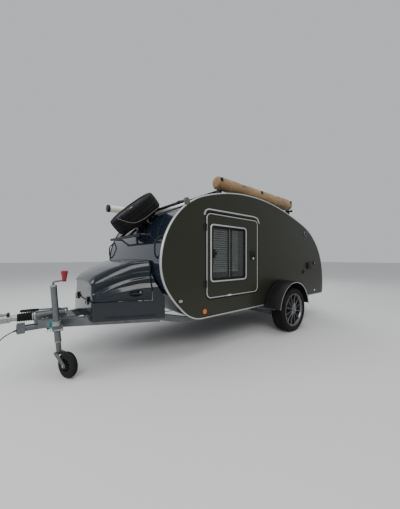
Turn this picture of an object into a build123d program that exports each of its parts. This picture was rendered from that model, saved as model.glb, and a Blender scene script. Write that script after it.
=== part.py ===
from build123d import *
import math
import os

os.makedirs("parts", exist_ok=True)

# ---------------------------------------------------------------- dimensions
# Millimetres.  +Z up, -Y towards the hitch, +Y towards the tail, +X the left
# side of the trailer.  The ground is z = 0.  Stations "s" are measured
# backwards from the tip of the nose.
NOSE_Y = -1093.0

HALF_W = 738.0          # outer face of the flat side panels
WALL = 25.0             # side panels and doors
SKIN = 24.0             # nose, roof, tail and floor sandwich
SKIN_SET = 6.0          # skin sits this far inside the side panel's edge
GAP = 6.0               # gap round a moving panel
FLOOR_Z = 376.0         # underside of the side panels

NOSE_Z = 960.0          # height of the foremost point of the nose
TAIL_S = 3396.0

# Side outline as a chain of tangent arcs: s, z
ROOF_LINE = [
    (111, 1352),
    (522, 1680),
    (1139, 1801),
    (1931, 1748),
    (2693, 1545),
    (3163, 1243),
    (TAIL_S, 760),
    (TAIL_S, 401),
]
NOSE_UNDER = [(500, FLOOR_Z), (274, 461), (84, 680), (0, NOSE_Z)]

NOSE_JOINT_S = 500.0    # nose panel meets roof and floor
HATCH_S = 2483.0        # front edge of the tail hatch
TAIL_JOINT_S = 3350.0   # floor meets the tail panel
HATCH_Z = 646.0         # lower edge of the tail hatch

# Door: s0, s1, z0, z1
DOOR = (554.0, 1440.0, 578.0, 1505.0)
DOOR_R = 62.0
WINDOW = (608.0, 1212.0, 750.0, 1392.0)
WINDOW_R = 48.0
WINDOW_RIM = 34.0       # visible width of the window's frame
MULLION = (897.0, 951.0)
BLIND = (630.0, 1091.0, 866.0, 1384.0)
HINGE_X = HALF_W + 8.0
HINGE_S = 548.0
HINGE_ZS = (740.0, 1345.0)
KNUCKLE_R = 6.0
PIN_R = 3.0

# Wheels
AXLE_S = 1966.0
TYRE_R = 300.0
TYRE_W = 195.0
WHEEL_X = 877.0         # middle of the tyre
RIM_R = 226.0
SPINDLE_R = 20.0
RUN_FIT = 0.05
FENDER_R = 400.0
FENDER_T = 5.0
FENDER_X = 985.0

# Chassis and drawbar
RAIL_X = 560.0
RAIL_W = 50.0
RAIL_H = 50.0
BEAM_H = 78.0
BEAM_Z = 458.0          # top of the A-frame's beams
APEX_S = -860.0         # front end of the two beams of the A-frame
APEX_X = 36.0
CRANK_S = 100.0         # where they bend down towards the rails
CRANK_X = 535.0
KNEE_S = 430.0          # where they meet the rails under the floor

# Front locker, tapered in plan, over the beams
LOCKER_FRONT = -496.0
LOCKER_REAR = 100.0
LOCKER_Z0 = 434.0       # lower edge of its skirt
SEAM_Z = 612.0
LOCKER_WALL = 5.0
NOSE_CLEAR = 12.0
LOCKER_W0 = 377.0       # half width at the front
LOCKER_FLARE = 0.47     # growth of the half width per length
LID_REAR = -14.0        # the lid ends here; fixed cheeks fill in under the nose
# Lid sections: s, height of the ledge in the side, height of the hood over it,
# half width at the shoulder, height of the shoulder, of the crown
LID_SECTIONS = [
    (LOCKER_FRONT, 668, 762, 290, 800, 812),
    (-330.0, 764, 820, 372, 910, 923),
    (-161.0, 818, 870, 475, 970, 983),
    (0.0, 838, 886, 570, 990, 1003),
    (LOCKER_REAR, 841, 889, 616, 991, 1004),
]
LEDGE_IN, HOOD_IN = 36.0, 40.0      # how far ledge and hood lie inside the seam
LID_HINGE = (-507.0, SEAM_Z)

# Jockey wheel
JOCKEY_X = 260.0
JOCKEY_S = -746.0       # axis at JOCKEY_Z
JOCKEY_Z = 372.0
JOCKEY_LEAN = 4.0       # degrees, foot rearward
JOCKEY_R = 108.0
JOCKEY_W = 50.0
JOCKEY_TUBE_R = 25.0
JOCKEY_LEG_R = 20.5
JOCKEY_TRAIL = 112.0
JOCKEY_SWING = 66.0     # fork direction, degrees from rearward to the left

# Roof bars: name, s, z of the bar's axis, its radius, right end x, left end x, foot x
BARS = [
    ("front_roof_bar", 293.0, 1586.0, 22.0, -812.0, 745.0, 610.0),
    ("middle_roof_bar", 862.0, 1822.0, 15.0, -812.0, 650.0, 610.0),
    ("rear_roof_bar", 2400.0, 1768.0, 15.0, -690.0, 690.0, 610.0),
]
TUBE_X, TUBE_Z, TUBE_R = -790.0, 1730.0, 50.0


def at(s):
    """Y of a station s measured back from the nose tip."""
    return NOSE_Y + s


def block(x0, x1, y0, y1, z0, z1, mode=Mode.ADD):
    """Box between two corners, in the part that is open."""
    with Locations(((x0 + x1) / 2, (y0 + y1) / 2, (z0 + z1) / 2)):
        Box(abs(x1 - x0), abs(y1 - y0), abs(z1 - z0), mode=mode)


def rod(p0, p1, r, mode=Mode.ADD):
    """Round bar from p0 to p1, in the part that is open."""
    a, b = Vector(p0), Vector(p1)
    with BuildSketch(Plane(origin=a, z_dir=(b - a))) as disc:
        Circle(r)
    extrude(disc.sketch, amount=(b - a).length, mode=mode)


def body_outline():
    """Closed teardrop outline, drawn into the line that is open."""
    heading = (0, 1)
    p = (at(0), NOSE_Z)
    for s, z in ROOF_LINE:
        arc = TangentArc(p, (at(s), z), tangent=heading)
        heading, p = arc % 1, arc @ 1
    arc = TangentArc(p, (at(TAIL_S - 27), FLOOR_Z), tangent=heading)
    Line(arc @ 1, (at(NOSE_UNDER[0][0]), FLOOR_Z))
    heading, p = (-1, 0), (at(NOSE_UNDER[0][0]), FLOOR_Z)
    for s, z in NOSE_UNDER[1:]:
        arc = TangentArc(p, (at(s), z), tangent=heading)
        heading, p = arc % 1, arc @ 1


def rounded(s0, s1, z0, z1, r, mode=Mode.ADD):
    """Rounded rectangle in a side plane, in the sketch that is open."""
    with Locations((at((s0 + s1) / 2), (z0 + z1) / 2)):
        RectangleRounded(s1 - s0, z1 - z0, r, mode=mode)


def finish(part, label):
    part.label = label
    export_step(part, "parts/" + label + ".step")


# ---------------------------------------------------------------- body shell
with BuildPart() as skin_ring:
    with BuildSketch(Plane.YZ.offset(-(HALF_W - WALL))):
        with BuildLine():
            body_outline()
        make_face()
        offset(amount=-SKIN_SET)
        offset(amount=-SKIN, mode=Mode.SUBTRACT)
    extrude(amount=2 * (HALF_W - WALL))


def skin_top(s, inset=0.0):
    """Height of the outer skin above station s."""
    with BuildPart(mode=Mode.PRIVATE) as probe:
        add(skin_ring.part)
        block(-1, 1, at(s) - 0.05, at(s) + 0.05, 1000, 2500, mode=Mode.INTERSECT)
    return probe.part.bounding_box().max.Z - inset


BIG = 3000.0

with BuildPart() as nose_panel:
    add(skin_ring.part)
    block(-BIG, BIG, at(-200), at(NOSE_JOINT_S), 0, BIG, mode=Mode.INTERSECT)
finish(nose_panel.part, "nose_panel")

with BuildPart() as roof_panel:
    add(skin_ring.part)
    block(-BIG, BIG, at(NOSE_JOINT_S), at(HATCH_S - GAP), 1100, BIG, mode=Mode.INTERSECT)
finish(roof_panel.part, "roof_panel")

with BuildPart() as floor_panel:
    add(skin_ring.part)
    block(-BIG, BIG, at(NOSE_JOINT_S), at(TAIL_JOINT_S), 0, 700, mode=Mode.INTERSECT)
finish(floor_panel.part, "floor_panel")

with BuildPart() as tail_panel:
    add(skin_ring.part)
    block(-BIG, BIG, at(TAIL_JOINT_S), at(4000), 0, HATCH_Z - GAP, mode=Mode.INTERSECT)
finish(tail_panel.part, "tail_panel")

# Side panels with the doorway cut out
for side, sx in (("left", 1), ("right", -1)):
    inner = (HALF_W - WALL) if sx > 0 else -HALF_W
    with BuildPart() as side_panel:
        with BuildSketch(Plane.YZ.offset(inner)):
            with BuildLine():
                body_outline()
            make_face()
            rounded(DOOR[0] - GAP, DOOR[1] + GAP, DOOR[2] - GAP, DOOR[3] + GAP,
                    DOOR_R + GAP, mode=Mode.SUBTRACT)
        extrude(amount=WALL)
    finish(side_panel.part, side + "_side_panel")

# Galley bulkhead and worktop behind the cabin
BULKHEAD_S = 2560.0
WORKTOP_Z = 900.0
with BuildPart() as galley_unit:
    block(-(HALF_W - WALL), HALF_W - WALL, at(BULKHEAD_S), at(BULKHEAD_S + 18),
          FLOOR_Z + SKIN_SET + SKIN, 1700)
    block(-(HALF_W - WALL), HALF_W - WALL, at(BULKHEAD_S + 18), at(3180),
          WORKTOP_Z - 25, WORKTOP_Z)
    block(-(HALF_W - WALL), HALF_W - WALL, at(3120), at(3138),
          FLOOR_Z + SKIN_SET + SKIN, WORKTOP_Z - 25)
    with BuildSketch(Plane.YZ.offset(-(HALF_W - WALL))):
        with BuildLine():
            body_outline()
        make_face()
        offset(amount=-(SKIN_SET + SKIN + 8))
    extrude(amount=2 * (HALF_W - WALL), mode=Mode.INTERSECT)
    block(-(HALF_W - WALL), HALF_W - WALL, at(BULKHEAD_S), at(BULKHEAD_S + 18),
          FLOOR_Z + SKIN_SET + SKIN, 500)
    block(-(HALF_W - WALL), HALF_W - WALL, at(3120), at(3138),
          FLOOR_Z + SKIN_SET + SKIN, 500)
finish(galley_unit.part, "galley_unit")

# Bed that fills the cabin floor
with BuildPart() as mattress:
    block(-690, 690, at(560), at(BULKHEAD_S - 12), FLOOR_Z + SKIN_SET + SKIN + 0.3,
          FLOOR_Z + SKIN_SET + SKIN + 120.3)
    fillet(mattress.edges().filter_by(Axis.Z), 40)
finish(mattress.part, "mattress")

# ---------------------------------------------------------------- doors
for side, sx in (("left", 1), ("right", -1)):
    def x_span(x0, x1):
        """Same span on this side of the trailer, lower bound first."""
        return (x0, x1) if sx > 0 else (-x1, -x0)

    lo, hi = x_span(HALF_W - WALL, HALF_W)
    with BuildPart() as door:
        with BuildSketch(Plane.YZ.offset(lo)):
            rounded(*DOOR, DOOR_R)
            rounded(WINDOW[0] + 17, WINDOW[1] - 17, WINDOW[2] + 17, WINDOW[3] - 17,
                    WINDOW_R - 12, mode=Mode.SUBTRACT)
        extrude(amount=WALL)
        for z in HINGE_ZS:
            block(*x_span(HALF_W, HALF_W + 3), at(HINGE_S + 2), at(HINGE_S + 42), z - 11, z + 11)
            rod((sx * HINGE_X, at(HINGE_S), z - 11), (sx * HINGE_X, at(HINGE_S), z + 11), KNUCKLE_R)
            rod((sx * HINGE_X, at(HINGE_S), z - 20), (sx * HINGE_X, at(HINGE_S), z + 20),
                PIN_R + RUN_FIT, mode=Mode.SUBTRACT)
    finish(door.part, side + "_door")

    # Window: outside flange, sleeve through the door, sliding joint in the middle
    lo, hi = x_span(HALF_W - WALL, HALF_W + 8)
    with BuildPart() as window_frame:
        with BuildSketch(Plane.YZ.offset(lo)):
            rounded(WINDOW[0] + 17, WINDOW[1] - 17, WINDOW[2] + 17, WINDOW[3] - 17, WINDOW_R - 12)
        extrude(amount=WALL + 8)
        flo, fhi = x_span(HALF_W, HALF_W + 8)
        with BuildSketch(Plane.YZ.offset(flo)):
            rounded(*WINDOW, WINDOW_R)
        extrude(amount=8)
        with BuildSketch(Plane.YZ.offset(lo)):
            rounded(WINDOW[0] + WINDOW_RIM, WINDOW[1] - WINDOW_RIM,
                    WINDOW[2] + WINDOW_RIM, WINDOW[3] - WINDOW_RIM, 22)
        extrude(amount=WALL + 8, mode=Mode.SUBTRACT)
        block(*x_span(HALF_W - 12, HALF_W + 3), at(MULLION[0]), at(MULLION[1]),
              WINDOW[2] + WINDOW_RIM, WINDOW[3] - WINDOW_RIM)
    finish(window_frame.part, side + "_window_frame")

    glo, ghi = x_span(HALF_W - 16, HALF_W - 12)
    with BuildPart() as window_glass:
        with BuildSketch(Plane.YZ.offset(glo)):
            rounded(WINDOW[0] + WINDOW_RIM, WINDOW[1] - WINDOW_RIM,
                    WINDOW[2] + WINDOW_RIM, WINDOW[3] - WINDOW_RIM, 22)
        extrude(amount=4)
    finish(window_glass.part, side + "_window_glass")

    with BuildPart() as blind:
        block(*x_span(HALF_W - WALL - 12, HALF_W - WALL), at(BLIND[0] - 30), at(BLIND[1] + 30), 1376, 1400)
        block(*x_span(HALF_W - WALL - 12, HALF_W - WALL - 2), at(BLIND[0]), at(BLIND[1]), BLIND[2], 1376)
    finish(blind.part, side + "_window_blind")

    with BuildPart() as door_handle:
        with BuildSketch(Plane.YZ.offset(x_span(HALF_W, HALF_W + 8)[0])):
            rounded(1290, 1384, 990, 1112, 18)
        extrude(amount=8)
        block(*x_span(HALF_W + 8, HALF_W + 34), at(1304), at(1326), 1072, 1094)
        block(*x_span(HALF_W + 26, HALF_W + 40), at(1300), at(1374), 1068, 1098)
    finish(door_handle.part, side + "_door_handle")

# Fixed halves of the door hinges, with their pins
with BuildPart() as door_hinges:
    for sx in (1, -1):
        for z in HINGE_ZS:
            xa, xb = sorted((sx * HALF_W, sx * (HALF_W + 3)))
            block(xa, xb, at(HINGE_S - 36), at(HINGE_S - 8), z - 36, z + 36)
            for z0, z1 in ((z - 36, z - 11.6), (z + 11.6, z + 36)):
                block(xa, xb, at(HINGE_S - 9), at(HINGE_S - 1), z0, z1)
                rod((sx * HINGE_X, at(HINGE_S), z0), (sx * HINGE_X, at(HINGE_S), z1), KNUCKLE_R)
            rod((sx * HINGE_X, at(HINGE_S), z - 36), (sx * HINGE_X, at(HINGE_S), z + 36), PIN_R)

# Rain rails above the doors, ends turned down: s, z
RAIN_LINE = [(520, 1478), (534, 1522), (575, 1541), (1340, 1545), (1420, 1532), (1456, 1474)]
with BuildPart() as rain_rails:
    for sx in (1, -1):
        with BuildSketch(Plane.YZ.offset(HALF_W if sx > 0 else -HALF_W - 16)):
            with BuildLine():
                FilletPolyline(*[(at(s), z) for s, z in RAIN_LINE], radius=18)
                offset(amount=7)
            make_face()
        extrude(amount=16)
finish(rain_rails.part, "rain_rails")

# ---------------------------------------------------------------- tail hatch
HATCH_Z_TOP = skin_top(HATCH_S)
HATCH_AXIS = (at(HATCH_S), HATCH_Z_TOP + 9.0)
HATCH_HINGE_XS = (-520.0, 0.0, 520.0)
with BuildPart() as tail_hatch:
    add(skin_ring.part)
    block(-(HALF_W - WALL - GAP), HALF_W - WALL - GAP, at(HATCH_S), at(4000), HATCH_Z, BIG,
          mode=Mode.INTERSECT)
    for x in HATCH_HINGE_XS:
        block(x - 20, x + 20, HATCH_AXIS[0] + 2, HATCH_AXIS[0] + 42,
              HATCH_Z_TOP - 16, HATCH_AXIS[1] - 2)
        rod((x - 20, *HATCH_AXIS), (x + 20, *HATCH_AXIS), 7.0)
        rod((x - 30, *HATCH_AXIS), (x + 30, *HATCH_AXIS), 4.0 + RUN_FIT, mode=Mode.SUBTRACT)
finish(tail_hatch.part, "tail_hatch")

with BuildPart() as hatch_hinges:
    for x in HATCH_HINGE_XS:
        for x0, x1 in ((x - 45, x - 20.6), (x + 20.6, x + 45)):
            rod((x0, *HATCH_AXIS), (x1, *HATCH_AXIS), 7.0)
            block(x0, x1, HATCH_AXIS[0] - 46, HATCH_AXIS[0] - 2, HATCH_Z_TOP - 16, HATCH_AXIS[1] - 2)
        rod((x - 45, *HATCH_AXIS), (x + 45, *HATCH_AXIS), 4.0)
    add(roof_panel.part, mode=Mode.SUBTRACT)
    block(-BIG, BIG, at(HATCH_S - GAP - 80), at(HATCH_S + 60), 0, HATCH_Z_TOP - 3, mode=Mode.SUBTRACT)

with BuildPart() as hatch_handle:
    block(-70, 70, at(TAIL_S - 8), at(TAIL_S + 34), 726, 750)
    block(-95, 95, at(TAIL_S - 30), at(TAIL_S + 6), 700, 776)
    add(tail_hatch.part, mode=Mode.SUBTRACT)
    block(-200, 200, at(TAIL_S - 200), at(TAIL_S - 11), 600, 900, mode=Mode.SUBTRACT)
finish(hatch_handle.part, "hatch_handle")

# ---------------------------------------------------------------- chassis
def beam(p0, p1, width, height):
    """Beam whose top edge runs from p0 to p1."""
    a, b = Vector(*p0), Vector(*p1)
    d = (b - a).normalized()
    side_dir = d.cross(Vector(0, 0, 1)).normalized()
    up = side_dir.cross(d).normalized()
    with BuildSketch(Plane(origin=a - up * (height / 2), x_dir=side_dir, z_dir=d)) as section:
        Rectangle(width, height)
    extrude(section.sketch, amount=(b - a).length)


rails = {}
for side, sx in (("left", 1), ("right", -1)):
    with BuildPart() as chassis_rail:
        beam((sx * APEX_X, at(APEX_S), BEAM_Z), (sx * (CRANK_X + 3), at(CRANK_S + 6), BEAM_Z),
             RAIL_W, BEAM_H)
        beam((sx * (CRANK_X - 3), at(CRANK_S - 6), BEAM_Z), (sx * RAIL_X, at(KNEE_S + 12), FLOOR_Z - 3),
             RAIL_W, BEAM_H - 14)
        block(sx * RAIL_X - RAIL_W / 2, sx * RAIL_X + RAIL_W / 2, at(KNEE_S), at(3300),
              FLOOR_Z - RAIL_H, FLOOR_Z - 2)
        block(sx * RAIL_X - RAIL_W / 2, sx * RAIL_X + RAIL_W / 2, at(NOSE_JOINT_S + 10), at(3300),
              FLOOR_Z - RAIL_H, FLOOR_Z + SKIN_SET)
        block(sx * RAIL_X - 100, sx * RAIL_X + 100, at(KNEE_S - 60), at(3300), 100, FLOOR_Z - RAIL_H,
              mode=Mode.SUBTRACT)
        # room for the coupling tube between the beams
        block(-40, 40, at(-1100), at(-500), 340, 520, mode=Mode.SUBTRACT)
        block(-sx * 300, 0, at(-1100), at(0), 200, 600, mode=Mode.SUBTRACT)
    rails[side] = chassis_rail.part
    finish(chassis_rail.part, side + "_chassis_rail")

# Cross members between the rails, and stays that carry the mudguards outside them
with BuildPart() as cross_members:
    for s in (560.0, 1240.0, 2560.0, 3240.0):
        block(-(RAIL_X - RAIL_W / 2), RAIL_X - RAIL_W / 2, at(s), at(s + 40), FLOOR_Z - 44, FLOOR_Z + SKIN_SET)
    for sx in (1, -1):
        for s in (AXLE_S - 395, AXLE_S + 365):
            xa, xb = sorted((sx * (RAIL_X + RAIL_W / 2), sx * 900))
            block(xa, xb, at(s), at(s + 30), 340, 352)
finish(cross_members.part, "cross_members")

with BuildPart() as axle_beam:
    block(-690, 690, at(AXLE_S - 190), at(AXLE_S - 110), 218, 298)
    for sx in (1, -1):
        block(sx * RAIL_X - 45, sx * RAIL_X + 45, at(AXLE_S - 215), at(AXLE_S - 85), 290, FLOOR_Z - RAIL_H)
        with BuildSketch(Plane.YZ.offset(690 if sx > 0 else -730)):
            with Locations((at(AXLE_S - 150), 258)):
                Circle(42)
            with Locations((at(AXLE_S), TYRE_R)):
                Circle(34)
            make_hull()
        extrude(amount=40)
        rod((sx * 730, at(AXLE_S), TYRE_R), (sx * 905, at(AXLE_S), TYRE_R), SPINDLE_R)
finish(axle_beam.part, "axle_beam")

# ---------------------------------------------------------------- wheels
for side, sx in (("left", 1), ("right", -1)):
    cx = sx * WHEEL_X
    with BuildPart() as tyre:
        with BuildSketch(Plane.XZ.offset(-at(AXLE_S))):
            # half section about the wheel's axis: across, radius
            with Locations((cx, TYRE_R + (TYRE_R + RIM_R - 12) / 2)):
                RectangleRounded(TYRE_W, TYRE_R - RIM_R + 12, 30)
        revolve(axis=Axis((0, at(AXLE_S), TYRE_R), (1, 0, 0)))
    finish(tyre.part, side + "_tyre")

    with BuildPart() as rim:
        with BuildSketch(Plane.XZ.offset(-at(AXLE_S))):
            with Locations((cx, TYRE_R + RIM_R - 15)):
                Rectangle(TYRE_W - 14, 6)
            with Locations((sx * (WHEEL_X + 60), TYRE_R + 48)):
                Rectangle(40, 96 - 2 * (SPINDLE_R + RUN_FIT) + 0)
        revolve(axis=Axis((0, at(AXLE_S), TYRE_R), (1, 0, 0)))
        with BuildSketch(Plane.YZ.offset(sx * (WHEEL_X + 60) - 14)):
            with Locations((at(AXLE_S), TYRE_R)):
                with PolarLocations((54 + RIM_R - 15) / 2, 10):
                    Rectangle(RIM_R - 15 - 54, 26)
                Circle(70, mode=Mode.SUBTRACT)
                Circle(RIM_R - 15, mode=Mode.INTERSECT)
        extrude(amount=28)
        # hub around the spindle
        rod((sx * 800, at(AXLE_S), TYRE_R), (sx * 957, at(AXLE_S), TYRE_R), 62)
        rod((sx * 790, at(AXLE_S), TYRE_R), (sx * 906, at(AXLE_S), TYRE_R), SPINDLE_R + RUN_FIT,
            mode=Mode.SUBTRACT)
    finish(rim.part, side + "_rim")

# Round mudguards with a rolled lip on the outer edge
for side, sx in (("left", 1), ("right", -1)):
    with BuildPart() as fender:
        x0 = HALF_W if sx > 0 else -FENDER_X
        with BuildSketch(Plane.YZ.offset(x0)):
            with Locations((at(AXLE_S), TYRE_R)):
                Circle(FENDER_R)
                Circle(FENDER_R - FENDER_T, mode=Mode.SUBTRACT)
        extrude(amount=FENDER_X - HALF_W)
        with BuildSketch(Plane.YZ.offset(FENDER_X - 6 if sx > 0 else -FENDER_X)):
            with Locations((at(AXLE_S), TYRE_R)):
                Circle(FENDER_R)
                Circle(FENDER_R - 20, mode=Mode.SUBTRACT)
        extrude(amount=6)
        with BuildSketch(Plane.YZ.offset(HALF_W if sx > 0 else -HALF_W - 5)):
            with Locations((at(AXLE_S), TYRE_R)):
                Circle(FENDER_R)
                Circle(FENDER_R - 34, mode=Mode.SUBTRACT)
        extrude(amount=5)
        block(-BIG, BIG, at(0), at(4000), -300, 352, mode=Mode.SUBTRACT)
    finish(fender.part, side + "_fender")

# ---------------------------------------------------------------- coupling
DRAW_Z = 388.0          # middle of the coupling tube
with BuildPart() as coupling_tube:
    rod((0, at(-975), DRAW_Z), (0, at(-590), DRAW_Z), 29)
    block(-38, 38, at(-1020), at(-962), DRAW_Z - 38, DRAW_Z + 44)
finish(coupling_tube.part, "coupling_tube")

HEAD_Z = 488.0          # middle of the overrun device and the coupling
with BuildPart() as overrun_housing:
    rod((0, at(-900), HEAD_Z), (0, at(-640), HEAD_Z), 38)
    block(-34, 34, at(-895), at(-645), DRAW_Z + 29, HEAD_Z)
    # plates that tie it to the two beams
    block(-130, 130, at(-665), at(-575), BEAM_Z, BEAM_Z + 6)
    block(-95, 95, at(-850), at(-790), BEAM_Z, BEAM_Z + 6)
finish(overrun_housing.part, "overrun_housing")

with BuildPart() as overrun_bellows:
    rod((0, at(-1018), HEAD_Z), (0, at(-900), HEAD_Z), 40)
finish(overrun_bellows.part, "overrun_bellows")

BALL_R = 25.0
BALL_S = -1200.0
with BuildPart() as coupling_head:
    rod((0, at(-1160), HEAD_Z), (0, at(-1018), HEAD_Z), 26)
    rod((0, at(BALL_S), HEAD_Z - 68), (0, at(BALL_S), HEAD_Z + 16), 44)
    block(-40, 40, at(-1200), at(-1120), HEAD_Z - 40, HEAD_Z + 16)
    # socket for a 50 mm ball, open downwards
    rod((0, at(BALL_S), HEAD_Z - 90), (0, at(BALL_S), HEAD_Z - 26), BALL_R + 0.4, mode=Mode.SUBTRACT)
finish(coupling_head.part, "coupling_head")

with BuildPart() as coupling_handle:
    block(-14, 14, at(-1190), at(-1070), HEAD_Z + 26, HEAD_Z + 38)
    block(-14, 14, at(-1190), at(-1160), HEAD_Z + 16, HEAD_Z + 38)
    rod((-42, at(-1076), HEAD_Z + 39), (42, at(-1076), HEAD_Z + 39), 12)
finish(coupling_handle.part, "coupling_handle")

# ---------------------------------------------------------------- jockey wheel
lean = math.radians(JOCKEY_LEAN)
leg_dir = Vector(0, -math.sin(lean), math.cos(lean))
leg_at = Vector(JOCKEY_X, at(JOCKEY_S), JOCKEY_Z)


def leg_point(h):
    """Point on the jockey leg's axis at height h."""
    p = leg_at + leg_dir * ((h - JOCKEY_Z) / math.cos(lean))
    return (p.X, p.Y, p.Z)


TUBE_FOOT = 288.0
with BuildPart() as jockey_tube:
    rod(leg_point(TUBE_FOOT), leg_point(775), JOCKEY_TUBE_R)
    # crank on top
    rod(leg_point(775), leg_point(812), 9)
    top = leg_point(812)
    rod(top, (top[0], top[1] + 84, top[2] + 8), 7)
    rod((top[0], top[1] + 84, top[2] - 2), (top[0], top[1] + 84, top[2] + 86), 14)
    # clamp on the beam
    block(90, JOCKEY_X + 38, leg_at.Y - 36, leg_at.Y + 40, 388, 428)
    rod(leg_point(200), leg_point(752), JOCKEY_LEG_R, mode=Mode.SUBTRACT)
    add(rails["left"], mode=Mode.SUBTRACT)
finish(jockey_tube.part, "jockey_tube")

FORK_TOP = 200.0
with BuildPart() as jockey_leg:
    rod(leg_point(FORK_TOP + 6), leg_point(640), JOCKEY_LEG_R - RUN_FIT)
    rod(leg_point(FORK_TOP), leg_point(FORK_TOP + 32), 10 + RUN_FIT, mode=Mode.SUBTRACT)
finish(jockey_leg.part, "jockey_leg")

# The fork points along fork_dir; the wheel's axle lies across it
swing = math.radians(JOCKEY_SWING)
fork_dir = Vector(math.sin(swing), math.cos(swing), 0)
across = Vector(-math.cos(swing), math.sin(swing), 0)
foot = leg_point(JOCKEY_R)
hub = (foot[0] + fork_dir.X * JOCKEY_TRAIL, foot[1] + fork_dir.Y * JOCKEY_TRAIL, JOCKEY_R)


def off(p, d, k):
    return (p[0] + d.X * k, p[1] + d.Y * k, p[2])


with BuildPart() as jockey_fork:
    rod(leg_point(FORK_TOP - 12), leg_point(FORK_TOP), 27)
    rod(leg_point(FORK_TOP - 6), leg_point(FORK_TOP + 30), 10)
    for k in (-1, 1):
        mid = off(hub, across, k * (JOCKEY_W / 2 + 9) + 3)
        with BuildSketch(Plane(origin=mid, x_dir=fork_dir, z_dir=across * -1)):
            with Locations((0, 0)):
                Circle(18)
            with Locations((-JOCKEY_TRAIL, FORK_TOP - JOCKEY_R - 10)):
                Rectangle(50, 12)
            make_hull()
        extrude(amount=6)
    with BuildSketch(Plane(origin=(foot[0], foot[1], FORK_TOP - 16), x_dir=fork_dir, z_dir=(0, 0, 1))):
        Rectangle(50, JOCKEY_W + 24)
    extrude(amount=12)
    rod(off(hub, across, -(JOCKEY_W / 2 + 12)), off(hub, across, JOCKEY_W / 2 + 12), 8)
finish(jockey_fork.part, "jockey_fork")

with BuildPart() as jockey_wheel:
    rod(off(hub, across, -JOCKEY_W / 2), off(hub, across, JOCKEY_W / 2), JOCKEY_R)
    fillet(jockey_wheel.edges().filter_by(GeomType.CIRCLE), 14)
    rod(off(hub, across, -JOCKEY_W), off(hub, across, JOCKEY_W), 8 + RUN_FIT, mode=Mode.SUBTRACT)
finish(jockey_wheel.part, "jockey_wheel")

# ---------------------------------------------------------------- front locker
def locker_half(s):
    """Half width of the locker at its seam."""
    return LOCKER_W0 + LOCKER_FLARE * (s - LOCKER_FRONT)


def locker_plan(inset):
    """Plan of the front locker, tapering towards the hitch."""
    w0, w1 = locker_half(LOCKER_FRONT), locker_half(LOCKER_REAR)
    with BuildLine() as edge:
        Polyline(
            (-(w0 - inset), at(LOCKER_FRONT + inset)),
            (w0 - inset, at(LOCKER_FRONT + inset)),
            (w1 - inset, at(LOCKER_REAR - inset)),
            (-(w1 - inset), at(LOCKER_REAR - inset)),
            close=True,
        )
    make_face(edge.edges())


def lid_form(inset):
    """Lid as one loft: sides with a ledge and a hood, and a low arched crown."""
    z0 = SEAM_Z + GAP / 2 - (20 if inset else 0)
    faces = []
    for k, (s, ledge, hood, w1, zs, zc) in enumerate(LID_SECTIONS):
        y = at(s + (inset if k == 0 else 0))
        w0, w1, zs, zc = locker_half(s) - inset, w1 - inset, zs - inset, zc - inset
        side = [(w0, z0), (w0 - LEDGE_IN, ledge - inset), (w0 - HOOD_IN, hood - inset), (w1, zs)]
        with BuildSketch(Plane.XZ.offset(-y)) as section:
            with BuildLine():
                Polyline(*[(-x, z) for x, z in reversed(side)], *side)
                ThreePointArc((w1, zs), (0, zc), (-w1, zs))
            make_face()
        faces.append(section.sketch)
    return loft(faces)


def nose_room(gap):
    """The body and a gap round it, as a solid."""
    with BuildPart(mode=Mode.PRIVATE) as room:
        with BuildSketch(Plane.YZ.offset(-800)) as outline:
            with BuildLine() as edge:
                body_outline()
            make_face(edge.edges())
            offset(amount=gap)
        extrude(outline.sketch, amount=1600)
    return room.part


room_outer, room_inner = nose_room(NOSE_CLEAR), nose_room(NOSE_CLEAR + LOCKER_WALL)

with BuildPart() as locker_lid:
    add(lid_form(0.0))
    add(room_outer, mode=Mode.SUBTRACT)
with BuildPart() as lid_hollow:
    add(lid_form(LOCKER_WALL))
    add(room_inner, mode=Mode.SUBTRACT)
with BuildPart() as locker_lid_shell:
    add(locker_lid.part)
    add(lid_hollow.part, mode=Mode.SUBTRACT)
    block(-BIG, BIG, at(LID_REAR), at(LID_REAR + 400), 300, 1300, mode=Mode.SUBTRACT)
    for x in (-210, 210):
        block(x - 20, x + 20, at(LID_HINGE[0] + 2), at(LOCKER_FRONT + 0.01), LID_HINGE[1] + 4, LID_HINGE[1] + 34)
        rod((x - 20, at(LID_HINGE[0]), LID_HINGE[1]), (x + 20, at(LID_HINGE[0]), LID_HINGE[1]), 6)
        rod((x - 30, at(LID_HINGE[0]), LID_HINGE[1]), (x + 30, at(LID_HINGE[0]), LID_HINGE[1]),
            3 + RUN_FIT, mode=Mode.SUBTRACT)
finish(locker_lid_shell.part, "locker_lid")

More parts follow.
